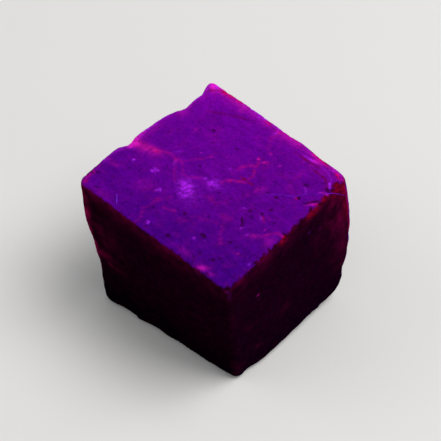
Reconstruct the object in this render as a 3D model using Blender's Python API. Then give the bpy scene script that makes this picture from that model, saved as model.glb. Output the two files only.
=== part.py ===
"""Ruby cube: one rough block of ruby, sawn and broken to a cube about 20 mm on an edge.

The block is one solid. It stands on its flat base at z = 0, upright along +Z, with the origin
under its middle. Its four upright edges are named by where they stand, seen from above:
L at -x -y, F at +x -y, R at +x +y and B at -x +y. The sides are not quite square, the edge at R
is barrel-shaped and broken away at the top, the rim between B and L is scalloped by old flake
scars, and the top slopes gently down towards F.

Every point of the surface is found on a straight line from the block's middle, where outside()
changes sign. outside() says how far a point lies outside the stone, in millimetres.
"""

import bmesh
import bpy
import numpy as np

NAME = "ruby_cube"
MM = 0.001  # one millimetre in Blender's metres
RUBY_COLOUR = (0.115, 0.002, 0.225, 1.0)
RUBY_ROUGHNESS = 0.42

# The block, in millimetres.
EDGE = 20.0  # nominal length of each edge
HEIGHT = 20.0  # top face above the base, at the middle
TOP_SLOPE = (-0.030, 0.031)  # rise of the top face for each millimetre along x and y
MIDDLE = (0.0, 0.0, 0.5 * HEIGHT)

# Upright edges before wear: (x, y) at the base, (x, y) at the top, and how far each swells out halfway up.
UPRIGHTS = {
    "L": ((-10.95, -10.65), (-10.75, -10.50), 0.0),
    "F": ((10.05, -8.00), (10.70, -10.00), 0.0),
    "R": ((10.70, 9.35), (9.70, 10.20), 1.2),
    "B": ((-9.90, 10.10), (-10.15, 10.20), 0.10),
}
SWELL_ROUNDNESS = 1.85
# How far back from each upright edge its rounding starts.
UPRIGHT_WEAR = {"L": 1.0, "F": 0.9, "R": 1.7, "B": 0.6}
# The same for the rim of the top and of the base, at each corner.
TOP_WEAR = {"L": 0.40, "F": 0.40, "R": 0.60, "B": 0.40}
BASE_WEAR = {"L": 0.9, "F": 0.9, "R": 2.4, "B": 1.6}

# Scallops of the rim between B and L: middle, reach towards B, reach towards L, depth, roundness.
RIM_LOBES = (
    (9.7, 1.4, 1.8, 0.60, 1.6),
    (0.2, 4.5, 4.0, 0.68, 2.6),
    (-4.4, 3.1, 6.6, 0.80, 1.5),
)
RIM_LOBE_FADE = (7.0, 17.0)  # the scallops run out downwards between these heights

# Low swell at the foot of the side between F and R: middle and width along y, how far it stands out.
FOOT_SWELL = (-2.6, 4.4, 0.54)
FOOT_SWELL_FADE = (1.0, 9.0)  # it runs out upwards between these heights

# The upright edge at L is split away below a ledge: direction, heights, and distances from the middle.
SPLIT_DIRECTION = (-0.7256, -0.6881)
SPLIT_LOW, SPLIT_HIGH = 9.3, 15.0
SPLIT_AT_BASE, SPLIT_AT_LEDGE, SPLIT_AT_TOP = 13.75, 14.40, 15.60
SPLIT_WEAR = 1.0

# Ledges where the corner at R broke away in steps: edge facing +y, edge facing the corner, drop.
CORNER_DIRECTION = (0.786, 0.618)
CORNER_LEDGES = (
    (7.95, 11.36, 0.12),
    (8.62, 12.05, 0.14),
    (9.30, 12.80, 0.16),
)
CORNER_LEDGE_START = (3.0, 6.0)  # the ledges rise out of the top face between these x values
CORNER_LEDGE_TURN = 0.8  # how widely each ledge turns the corner
CORNER_LEDGE_RISER = (-0.10, 0.22)  # from the top of each ledge's riser to its foot

# Valley that runs in from one notch of the scalloped rim, and the dip of the top face at the other notch.
VALLEY = ((-11.2, -3.1), (-8.5, -2.1), (-6.6, -1.0))
VALLEY_DEPTH, VALLEY_WIDTH = 0.32, 0.55
NOTCH_Y, NOTCH_WIDTH, NOTCH_DEPTH = 5.4, 0.7, 0.30
NOTCH_RUN = (-8.9, -10.5)  # the dip deepens between these x values

# Broad flake scars: deepest place, outward direction there, radius of the hollow and its depth.
SCARS = (
    ((-10.0, 8.0, 13.0), (-1.0, 0.25, -0.10), 24.0, 0.45),
    ((-10.2, -2.0, 6.5), (-1.0, -0.10, -0.20), 22.0, 0.55),
    ((3.0, 10.3, 6.0), (0.05, 1.0, -0.15), 24.0, 0.55),
    ((-5.5, 10.2, 13.5), (-0.15, 1.0, 0.05), 20.0, 0.40),
    ((6.0, 10.6, 15.0), (0.20, 1.0, 0.10), 12.0, 0.35),
)
SCAR_SOFTNESS, CHIP_SOFTNESS = 0.25, 0.10  # how far back from its rim each kind is rounded

# Shells: thin flakes that came off a side, each with a curved step round it: middle, radius and thickness.
SHELLS = (
    ((8.5, 10.5, 5.0), 6.5, 0.22),
    ((-9.0, 10.5, -1.0), 8.0, 0.26),
    ((-10.5, -7.0, 1.5), 7.0, 0.22),
)
SHELL_SLOPE = 0.32  # half the width of the step
SHELL_END = (11.0, 13.2)  # the flakes run out towards the uprights at L and R between these distances

# Ledge on the side between L and F: it starts at L and runs a little downwards as it fades out.
LEDGE = ((-10.8, 9.9), (-8.2, 9.5), (-6.2, 8.6), (-4.2, 7.2))
LEDGE_DEPTH = 0.30
LEDGE_RISER, LEDGE_HOLLOW = 0.25, 4.5  # heights of the ledge and of the hollow above it

NEAR_SIDE = 7.0  # places further than this from the middle belong to the side they are near

# Chips along the rims from F to R and from L to F: place, radius of the hollow and its depth.
RIM_CHIPS = (
    ((10.35, -1.00, 19.75), 1.3, 0.26),
    ((9.95, 4.60, 20.00), 1.1, 0.20),
    ((10.30, 1.90, 19.80), 1.6, 0.16),
    ((10.45, -6.60, 19.50), 1.8, 0.18),
    ((7.00, -10.15, 19.45), 2.6, 0.20),
    ((-2.70, -10.45, 19.75), 1.4, 0.16),
)
RIM_TOWARDS_X = 9.0  # chips beyond this x are on the rim from F to R
CHIP_TOWARDS_X, CHIP_TOWARDS_Y = (0.75, 0.0, 0.66), (0.0, -0.72, 0.69)  # outward directions on the two rims

# Open pits of the top face: x, y, length, width, turn of the length from x in degrees, depth.
PITS = (
    (7.8, 3.9, 0.75, 0.42, 20.0, 0.20),
    (7.3, 5.7, 0.90, 0.60, 120.0, 0.18),
    (5.8, -2.5, 1.20, 0.36, -52.0, 0.18),
    (4.0, -6.5, 0.95, 0.45, -8.0, 0.18),
    (-5.1, 4.9, 0.85, 0.45, 65.0, 0.16),
    (-8.8, -9.4, 0.70, 0.50, 30.0, 0.18),
    (6.8, -0.5, 1.10, 0.34, -38.0, 0.15),
)

# Unevenness of the faces: length of the lumps and their height.
LUMPS = ((8.0, 0.075), (3.5, 0.035), (1.8, 0.018))
LUMP_CALM = (12.0, 18.0, 0.28)  # near the top the ground faces are flatter: from, to, share left
LUMP_SEEDS = (3, 5, 8)
WAVE_COUNT = 14

# Mesh: rows of points along each edge before the flat parts are thinned out, and the triangles kept.
ROWS = 110
ROW_GRADING = 0.88  # 0 spaces the rows evenly, near 1 draws them towards the edges
TRIANGLES = 9400
BASE_SPARE = 0.05  # the base is made this much too deep, then cut level at z = 0
CUT_TOLERANCE = 1e-8  # metres
REACH = (0.6, 1.25)  # the surface lies between these shares of the way to the unworn block
HALVINGS = 34  # each halves the stretch in which the surface is looked for


def ramp(low, high, value):
    """0 below low, 1 above high, with a smooth slope between them."""
    t = np.clip((value - low) / (high - low), 0.0, 1.0)
    return t * t * (3.0 - 2.0 * t)


def bell(offset, width):
    """1 in the middle, fading to nothing at about twice the width."""
    return np.exp(-((offset / width) ** 2))


def soft_max(a, b, width):
    """The larger of a and b, with the crease between them rounded over the width."""
    near = np.clip(1.0 - np.abs(a - b) / width, 0.0, 1.0)
    return np.maximum(a, b) + 0.25 * width * near * near


def between_corners(x, y, values):
    """A value named at the corners L, F, R and B, spread evenly between them."""
    u = np.clip(0.5 + x / EDGE, 0.0, 1.0)
    v = np.clip(0.5 + y / EDGE, 0.0, 1.0)
    front = (1.0 - u) * values["L"] + u * values["F"]
    back = (1.0 - u) * values["B"] + u * values["R"]
    return (1.0 - v) * front + v * back


def path_distance(x, y, path):
    """Distance in plan to a path of straight stretches, and how far along it that is, from 0 to 1."""
    nearest = np.full_like(x, np.inf)
    along = np.zeros_like(x)
    stretches = len(path) - 1
    for i, ((ax, ay), (bx, by)) in enumerate(zip(path, path[1:])):
        dx, dy = bx - ax, by - ay
        t = np.clip(((x - ax) * dx + (y - ay) * dy) / (dx * dx + dy * dy), 0.0, 1.0)
        distance = np.hypot(x - ax - t * dx, y - ay - t * dy)
        closer = distance < nearest
        nearest = np.where(closer, distance, nearest)
        along = np.where(closer, (i + t) / stretches, along)
    return nearest, along


def upright_at(name, z):
    """Where an upright edge stands at height z, before wear."""
    base, top, swell = UPRIGHTS[name]
    t = z / HEIGHT
    from_halfway = np.abs(2.0 * np.clip(t, 0.0, 1.0) - 1.0)
    fullness = swell * (1.0 - from_halfway**SWELL_ROUNDNESS) / np.sqrt(2.0)
    x = base[0] + (top[0] - base[0]) * t + np.sign(base[0]) * fullness
    y = base[1] + (top[1] - base[1]) * t + np.sign(base[1]) * fullness
    return x, y


def beyond_side(x, y, start, end):
    """How far a point lies outside the side face that runs between two upright edges."""
    dx, dy = end[0] - start[0], end[1] - start[1]
    length = np.hypot(dx, dy)
    return ((x - start[0]) * dy - (y - start[1]) * dx) / length


def towards_split(x, y):
    """How far a place lies from the middle towards the upright at L."""
    return SPLIT_DIRECTION[0] * x + SPLIT_DIRECTION[1] * y


def rim_lobes(y, z):
    """Scallops of the rim between B and L, outwards."""
    total = np.zeros_like(y)
    for middle, reach_back, reach_left, depth, roundness in RIM_LOBES:
        reach = np.where(y > middle, reach_back, reach_left)
        t = np.clip(np.abs(y - middle) / reach, 0.0, 1.0)
        total = np.maximum(total, depth * (1.0 - t**roundness))
    return total * ramp(*RIM_LOBE_FADE, z)


def foot_swell(y, z):
    """Low swell at the foot of the side between F and R, outwards."""
    middle, width, most = FOOT_SWELL
    return most * bell(y - middle, width) * (1.0 - ramp(*FOOT_SWELL_FADE, z))


def top_height(x, y):
    """Height of the top face, with its ledges, valley, notch and pits."""
    z = HEIGHT + TOP_SLOPE[0] * x + TOP_SLOPE[1] * y
    towards_corner = CORNER_DIRECTION[0] * x + CORNER_DIRECTION[1] * y
    grown = ramp(*CORNER_LEDGE_START, x)
    for facing_back, facing_corner, drop in CORNER_LEDGES:
        past = soft_max(y - facing_back, towards_corner - facing_corner, CORNER_LEDGE_TURN)
        z -= drop * grown * ramp(*CORNER_LEDGE_RISER, past)
    distance, along = path_distance(x, y, VALLEY)
    z -= VALLEY_DEPTH * (1.0 - along) * bell(distance, VALLEY_WIDTH)
    z -= NOTCH_DEPTH * bell(y - NOTCH_Y, NOTCH_WIDTH) * ramp(*NOTCH_RUN, x)
    for pit_x, pit_y, length, width, turn, depth in PITS:
        cos, sin = np.cos(np.radians(turn)), np.sin(np.radians(turn))
        along = ((x - pit_x) * cos + (y - pit_y) * sin) / (0.5 * length)
        across = ((y - pit_y) * cos - (x - pit_x) * sin) / (0.5 * width)
        z -= depth * bell(np.hypot(along, across), 0.75)
    return z


def scar_bite(points, place, direction, radius, depth):
    """How far a point reaches into the ball that leaves a scar of this depth."""
    outwards = np.array(direction) / np.linalg.norm(direction)
    centre = np.array(place) + (radius - depth) * outwards
    return radius - np.linalg.norm(points - centre, axis=1)


def shells(points):
    """How much lower the flaked places lie."""
    running = 1.0 - ramp(*SHELL_END, np.abs(towards_split(points[:, 0], points[:, 1])))
    total = np.zeros(len(points))
    for middle, radius, thickness in SHELLS:
        past = np.linalg.norm(points - np.array(middle), axis=1) - radius
        total += thickness * running * ramp(SHELL_SLOPE, -SHELL_SLOPE, past)
    return total


def ledge(points):
    """Depth of the hollow above the ledge between L and F."""
    x, y, z = points.T
    path_x, path_z = np.array(LEDGE).T
    above = z - np.interp(x, path_x, path_z)
    hollow = ramp(0.0, LEDGE_RISER, above) * (1.0 - ramp(LEDGE_RISER, LEDGE_HOLLOW, above))
    running = ramp(path_x[0], path_x[1], x) * (1.0 - ramp(path_x[1], path_x[-1], x))
    return LEDGE_DEPTH * hollow * running * np.where(y < -NEAR_SIDE, 1.0, 0.0)


def lumps(points):
    """Gentle unevenness, in millimetres: low waves that cross at seeded angles."""
    total = np.zeros(len(points))
    for (length, height), seed in zip(LUMPS, LUMP_SEEDS):
        rng = np.random.default_rng(seed)
        directions = rng.normal(size=(WAVE_COUNT, 3))
        directions /= np.linalg.norm(directions, axis=1)[:, None]
        phases = rng.uniform(0.0, 2.0 * np.pi, WAVE_COUNT)
        turns = points @ directions.T * (2.0 * np.pi / length) + phases
        total += height * np.sin(turns).sum(axis=1) / np.sqrt(0.5 * WAVE_COUNT)
    calm_from, calm_to, share = LUMP_CALM
    return total * (1.0 - (1.0 - share) * ramp(calm_from, calm_to, points[:, 2]))


def outside(points):
    """How far each point lies outside the stone, in millimetres, negative inside it."""
    x, y, z = points.T
    left, front, right, back = (upright_at(name, z) for name in "LFRB")
    side_x = np.maximum(
        beyond_side(x, y, front, right) - foot_swell(y, z),
        beyond_side(x, y, back, left) - rim_lobes(y, z),
    )
    side_y = np.maximum(beyond_side(x, y, left, front), beyond_side(x, y, right, back))
    sides = soft_max(side_x, side_y, between_corners(x, y, UPRIGHT_WEAR))

    split = np.where(
        z < SPLIT_LOW,
        SPLIT_AT_BASE + (SPLIT_AT_LEDGE - SPLIT_AT_BASE) * z / SPLIT_LOW,
        SPLIT_AT_LEDGE + (SPLIT_AT_TOP - SPLIT_AT_LEDGE) * ramp(SPLIT_LOW, SPLIT_HIGH, z),
    )
    sides = soft_max(sides, towards_split(x, y) - split, SPLIT_WEAR)

    whole = soft_max(sides, z - top_height(x, y), between_corners(x, y, TOP_WEAR))
    for scar in SCARS:
        whole = soft_max(whole, scar_bite(points, *scar), SCAR_SOFTNESS)
    for place, radius, depth in RIM_CHIPS:
        direction = CHIP_TOWARDS_X if place[0] > RIM_TOWARDS_X else CHIP_TOWARDS_Y
        whole = soft_max(whole, scar_bite(points, place, direction, radius, depth), CHIP_SOFTNESS)
    whole += shells(points) + ledge(points) - lumps(points)
    return soft_max(whole, -z - BASE_SPARE, between_corners(x, y, BASE_WEAR))


def unworn_block(cube_points):
    """Carries the points of a cube from -1 to 1 to the block's unworn faces."""
    graded = np.sin(0.5 * np.pi * ROW_GRADING * cube_points) / np.sin(0.5 * np.pi * ROW_GRADING)
    u, v, w = graded.T
    z = 0.5 * HEIGHT * (1.0 + w)
    at = {name: upright_at(name, z) for name in "LFRB"}
    half = 0.5 * EDGE
    x = between_corners(half * u, half * v, {name: at[name][0] for name in at})
    y = between_corners(half * u, half * v, {name: at[name][1] for name in at})
    z += 0.5 * (1.0 + w) * (TOP_SLOPE[0] * x + TOP_SLOPE[1] * y)
    return np.stack([x, y, z], axis=1)


def worn_surface(block_points):
    """Carries each point of the unworn block in or out to the stone's surface."""
    middle = np.array(MIDDLE)
    ways = block_points - middle
    low = np.full(len(ways), REACH[0])
    high = np.full(len(ways), REACH[1])
    for _ in range(HALVINGS):
        half = 0.5 * (low + high)
        inside = outside(middle + half[:, None] * ways) < 0.0
        low = np.where(inside, half, low)
        high = np.where(inside, high, half)
    return middle + low[:, None] * ways


def stone_mesh(name):
    """The block as one closed mesh of fine triangles."""
    bm = bmesh.new()
    bmesh.ops.create_cube(bm, size=2.0)
    bmesh.ops.subdivide_edges(bm, edges=bm.edges[:], cuts=ROWS - 1, use_grid_fill=True)
    cube_points = np.array([vertex.co[:] for vertex in bm.verts])
    for vertex, place in zip(bm.verts, worn_surface(unworn_block(cube_points)) * MM):
        vertex.co = place
    bmesh.ops.triangulate(bm, faces=bm.faces[:])
    mesh = bpy.data.meshes.new(name)
    bm.to_mesh(mesh)
    bm.free()
    return mesh


def thinned(block):
    """The block's mesh with its flatter parts thinned out to the wanted number of triangles."""
    thin = block.modifiers.new("thin", "DECIMATE")
    thin.ratio = TRIANGLES / len(block.data.polygons)
    evaluated = block.evaluated_get(bpy.context.evaluated_depsgraph_get())
    mesh = bpy.data.meshes.new_from_object(evaluated)
    block.modifiers.remove(thin)
    return mesh


def cut_base_level(mesh):
    """Cuts the stone level at z = 0 and closes it there with one flat face."""
    bm = bmesh.new()
    bm.from_mesh(mesh)
    cut = bmesh.ops.bisect_plane(
        bm,
        geom=bm.verts[:] + bm.edges[:] + bm.faces[:],
        dist=CUT_TOLERANCE,
        plane_co=(0.0, 0.0, 0.0),
        plane_no=(0.0, 0.0, 1.0),
        clear_inner=True,
    )
    rim = [item for item in cut["geom_cut"] if isinstance(item, bmesh.types.BMEdge)]
    bmesh.ops.contextual_create(bm, geom=rim)
    bmesh.ops.recalc_face_normals(bm, faces=bm.faces[:])
    bmesh.ops.triangulate(bm, faces=bm.faces[:])
    bm.to_mesh(mesh)
    bm.free()


def ruby_material():
    """Deep violet-red ruby with a dull, ground surface."""
    material = bpy.data.materials.new("ruby")
    material.use_nodes = True
    shader = material.node_tree.nodes["Principled BSDF"]
    shader.inputs["Base Color"].default_value = RUBY_COLOUR
    shader.inputs["Roughness"].default_value = RUBY_ROUGHNESS
    shader.inputs["Metallic"].default_value = 0.0
    return material


def main():
    """Clears the scene and builds the one stone."""
    for item in list(bpy.data.objects):
        bpy.data.objects.remove(item)
    block = bpy.data.objects.new(NAME, stone_mesh(NAME))
    bpy.context.collection.objects.link(block)
    bpy.context.view_layer.update()
    block.data = thinned(block)
    cut_base_level(block.data)
    block.data.materials.clear()
    block.data.materials.append(ruby_material())


if __name__ == "__main__":
    main()
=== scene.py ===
"""Ruby cube: the finish of one small rough block of ruby, its lint fibre and dust, and a plain stage.

The stone stands on its flat base at z = 0, upright along +Z, with the origin under its middle.
Its four upright edges are named by where they stand, seen from above: L at -x -y, F at +x -y,
R at +x +y and B at -x +y. The tables below are in millimetres.

The stone's surface is found on straight lines from its middle, where outside() changes sign.
Finer relief is then laid over it, and what each place looks like, such as glowing veins, shaded
pits or a glowing rim, is kept on the mesh as a share from 0 to 1 that the material mixes its colours by.
Most of these colours are painted light: the violet lamp light of the top, the near-black shade of
the sides, pits and cracks, painted highlights and painted glow.
"""

import math

import bmesh
import bpy
import numpy as np
from bpy.props import FloatProperty, FloatVectorProperty, IntProperty, PointerProperty
from mathutils import Matrix, Vector, noise
from mathutils.bvhtree import BVHTree


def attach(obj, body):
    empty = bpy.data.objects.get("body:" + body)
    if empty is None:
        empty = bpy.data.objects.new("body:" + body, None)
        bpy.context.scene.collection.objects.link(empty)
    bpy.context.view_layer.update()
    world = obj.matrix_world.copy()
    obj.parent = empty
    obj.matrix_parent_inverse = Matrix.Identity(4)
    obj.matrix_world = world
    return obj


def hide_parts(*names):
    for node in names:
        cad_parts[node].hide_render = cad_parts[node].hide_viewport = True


bl_info = {
    "name": "Ruby Cube",
    "version": (1, 0, 0),
    "blender": (4, 5, 0),
    "location": "View3D > Sidebar > Ruby Cube",
    "description": "Builds a rough block of ruby with its veins, pits, chips, lint and dust",
    "category": "Add Mesh",
}

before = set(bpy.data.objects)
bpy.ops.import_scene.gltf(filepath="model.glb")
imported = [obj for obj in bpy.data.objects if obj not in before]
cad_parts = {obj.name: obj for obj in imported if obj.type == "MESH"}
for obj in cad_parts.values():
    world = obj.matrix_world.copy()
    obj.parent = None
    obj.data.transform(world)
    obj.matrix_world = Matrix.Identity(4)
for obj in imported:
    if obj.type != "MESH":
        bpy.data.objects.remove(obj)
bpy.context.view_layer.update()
NODE = "ruby_cube"
BODY = "root"
MM = 0.001  # one millimetre in metres

# The block.
EDGE = 20.0  # nominal length of each edge
HEIGHT = 20.0  # top face above the base, at the middle
TOP_SLOPE = (-0.030, 0.031)  # rise of the top face for each millimetre along x and y
MIDDLE = (0.0, 0.0, 0.5 * HEIGHT)

# Upright edges before wear: (x, y) at the base, (x, y) at the top, and how far each swells out halfway up.
UPRIGHTS = {
    "L": ((-10.95, -10.65), (-10.75, -10.50), 0.0),
    "F": ((10.05, -8.00), (10.70, -10.00), 0.0),
    "R": ((10.70, 9.35), (9.70, 10.20), 1.2),
    "B": ((-9.90, 10.10), (-10.15, 10.20), 0.10),
}
SWELL_ROUNDNESS = 1.85
UPRIGHT_WEAR = {"L": 1.0, "F": 0.9, "R": 1.7, "B": 0.6}
TOP_WEAR = {"L": 0.40, "F": 0.40, "R": 0.60, "B": 0.40}
BASE_WEAR = {"L": 0.9, "F": 0.9, "R": 2.4, "B": 1.6}

# Scallops of the rim between B and L: middle, reach towards B, reach towards L, depth, roundness.
RIM_LOBES = (
    (9.7, 1.4, 1.8, 0.60, 1.6),
    (0.2, 4.5, 4.0, 0.68, 2.6),
    (-4.4, 3.1, 6.6, 0.80, 1.5),
)
RIM_LOBE_FADE = (7.0, 17.0)  # they grow upwards between these heights

# Low swell at the foot of the side between F and R: middle and width along y, how far it stands out.
FOOT_SWELL = (-2.6, 4.4, 0.54)
FOOT_SWELL_FADE = (1.0, 9.0)  # it fades out between these heights

# The upright edge at L is split away below a ledge: direction, heights, and distances from the middle.
SPLIT_DIRECTION = (-0.7256, -0.6881)
SPLIT_LOW, SPLIT_HIGH = 9.3, 15.0
SPLIT_AT_BASE, SPLIT_AT_LEDGE, SPLIT_AT_TOP = 13.75, 14.40, 15.60
SPLIT_WEAR = 1.0

# Ledges where the corner at R broke away in steps: edge facing +y, edge facing the corner, drop.
CORNER_DIRECTION = (0.786, 0.618)
CORNER_LEDGES = (
    (7.95, 11.36, 0.12),
    (8.62, 12.05, 0.14),
    (9.30, 12.80, 0.16),
)
CORNER_LEDGE_START = (3.0, 6.0)  # they grow along x between these places
CORNER_LEDGE_TURN = 0.8  # rounding of the corner between a ledge's two edges
CORNER_LEDGE_RISER = (-0.10, 0.22)  # each step falls between these distances from its edge

# Valley that runs in from one notch of the scalloped rim, and the dip of the top face at the other notch.
VALLEY = ((-11.2, -3.1), (-8.5, -2.1), (-6.6, -1.0))
VALLEY_DEPTH, VALLEY_WIDTH = 0.32, 0.55
NOTCH_Y, NOTCH_WIDTH, NOTCH_DEPTH = 5.4, 0.7, 0.30
NOTCH_RUN = (-8.9, -10.5)

# Broad flake scars: deepest place, outward direction there, radius of the hollow and its depth.
SCARS = (
    ((-10.0, 8.0, 13.0), (-1.0, 0.25, -0.10), 24.0, 0.45),
    ((-10.2, -2.0, 6.5), (-1.0, -0.10, -0.20), 22.0, 0.55),
    ((3.0, 10.3, 6.0), (0.05, 1.0, -0.15), 24.0, 0.55),
    ((-5.5, 10.2, 13.5), (-0.15, 1.0, 0.05), 20.0, 0.40),
    ((6.0, 10.6, 15.0), (0.20, 1.0, 0.10), 12.0, 0.35),
)
SCAR_SOFTNESS, CHIP_SOFTNESS = 0.25, 0.10

# Shells: thin flakes that came off a side, each with a curved step round it: middle, radius and thickness.
SHELLS = (
    ((8.5, 10.5, 5.0), 6.5, 0.22),
    ((-9.0, 10.5, -1.0), 8.0, 0.26),
    ((-10.5, -7.0, 1.5), 7.0, 0.22),
)
SHELL_SLOPE = 0.32  # half width of the step
SHELL_END = (11.0, 13.2)  # they run out between these distances towards the uprights at L and R

# Ledge on the side between L and F: it starts at L and runs a little downwards as it fades out.
LEDGE = ((-10.8, 9.9), (-8.2, 9.5), (-6.2, 8.6), (-4.2, 7.2))
LEDGE_DEPTH = 0.30
LEDGE_RISER, LEDGE_HOLLOW = 0.25, 4.5  # heights of its step and of the hollow above it

NEAR_SIDE = 7.0  # places further than this from the middle belong to the side they are near

# Chips along the rims from F to R and from L to F: place, radius of the hollow and its depth.
RIM_CHIPS = (
    ((10.35, -1.00, 19.75), 1.3, 0.26),
    ((9.95, 4.60, 20.00), 1.1, 0.20),
    ((10.30, 1.90, 19.80), 1.6, 0.16),
    ((10.45, -6.60, 19.50), 1.8, 0.18),
    ((7.00, -10.15, 19.45), 2.6, 0.20),
    ((-2.70, -10.45, 19.75), 1.4, 0.16),
)
RIM_TOWARDS_X = 9.0  # chips further out than this are on the rim that faces +x
CHIP_TOWARDS_X, CHIP_TOWARDS_Y = (0.75, 0.0, 0.66), (0.0, -0.72, 0.69)

# Open pits of the top face: x, y, length, width, turn of the length from x in degrees, depth.
PITS = (
    (7.8, 3.9, 0.75, 0.42, 20.0, 0.20),
    (7.3, 5.7, 0.90, 0.60, 120.0, 0.18),
    (5.8, -2.5, 1.20, 0.36, -52.0, 0.18),
    (4.0, -6.5, 0.95, 0.45, -8.0, 0.18),
    (-5.1, 4.9, 0.85, 0.45, 65.0, 0.16),
    (-8.8, -9.4, 0.70, 0.50, 30.0, 0.18),
    (6.8, -0.5, 1.10, 0.34, -38.0, 0.15),
)
# Finer pits, in the same order.
FINE_PITS = (
    (-4.6, 4.5, 0.36, 0.24, 60.0, 0.07),
    (-4.05, 3.5, 0.32, 0.26, 0.0, 0.06),
    (-1.6, 4.6, 0.34, 0.24, 20.0, 0.05),
    (-1.5, 2.6, 0.28, 0.22, 0.0, 0.05),
    (-2.8, 0.1, 0.42, 0.26, 80.0, 0.07),
    (-2.9, 1.8, 0.30, 0.22, 40.0, 0.05),
    (1.1, 5.9, 0.36, 0.26, 10.0, 0.06),
    (2.4, 3.1, 0.30, 0.24, 70.0, 0.05),
    (1.0, 0.7, 0.34, 0.26, 30.0, 0.06),
    (8.9, 4.0, 0.42, 0.26, 35.0, 0.07),
    (6.2, 2.5, 0.44, 0.24, 25.0, 0.07),
    (5.1, 2.3, 0.36, 0.22, 40.0, 0.06),
    (6.7, 0.9, 0.50, 0.30, 10.0, 0.07),
    (5.2, -0.8, 0.34, 0.24, 0.0, 0.06),
    (5.8, -1.3, 0.34, 0.24, 30.0, 0.06),
    (6.5, -5.0, 0.48, 0.30, 10.0, 0.07),
    (7.5, -5.1, 0.32, 0.24, 50.0, 0.06),
    (8.3, -5.7, 0.38, 0.28, 20.0, 0.07),
    (0.5, -5.7, 0.50, 0.24, -40.0, 0.08),
    (-3.0, -6.5, 0.46, 0.34, 90.0, 0.07),
    (6.9, -8.0, 0.40, 0.24, 20.0, 0.06),
    (7.3, -7.1, 0.46, 0.22, 100.0, 0.06),
    (7.0, -8.9, 0.34, 0.24, 20.0, 0.06),
    (5.2, -8.3, 0.38, 0.26, 60.0, 0.06),
    (1.3, -8.9, 0.56, 0.34, 5.0, 0.08),
    (-7.9, -8.2, 0.36, 0.26, 30.0, 0.06),
    (-7.7, -0.1, 0.40, 0.24, 10.0, 0.06),
    (-0.8, -4.0, 0.36, 0.28, 30.0, 0.06),
    (-2.2, -2.8, 0.32, 0.26, 80.0, 0.06),
    (9.3, 4.7, 0.90, 0.24, 42.0, 0.10),
    (9.7, 7.3, 0.60, 0.40, 60.0, 0.10),
)

# Unevenness of the faces: length of the lumps and their height.
LUMPS = ((8.0, 0.075), (3.5, 0.035), (1.8, 0.018))
LUMP_CALM = (12.0, 18.0, 0.28)  # they grow weaker between these heights, down to this share
LUMP_SEEDS = (3, 5, 8)
WAVE_COUNT = 14

REACH = (0.6, 1.25)  # the surface lies between these shares of the way out to the unworn block
HALVINGS = 26

# Mesh grading: 0 spaces the rows evenly, near 1 draws them towards the edges.
TOP_GRADING, DOWN_GRADING = 0.35, 0.72
UNDER_ROWS, UNDER_REACH = 8, 0.26  # rows of points under the base, and how far in they run
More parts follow.
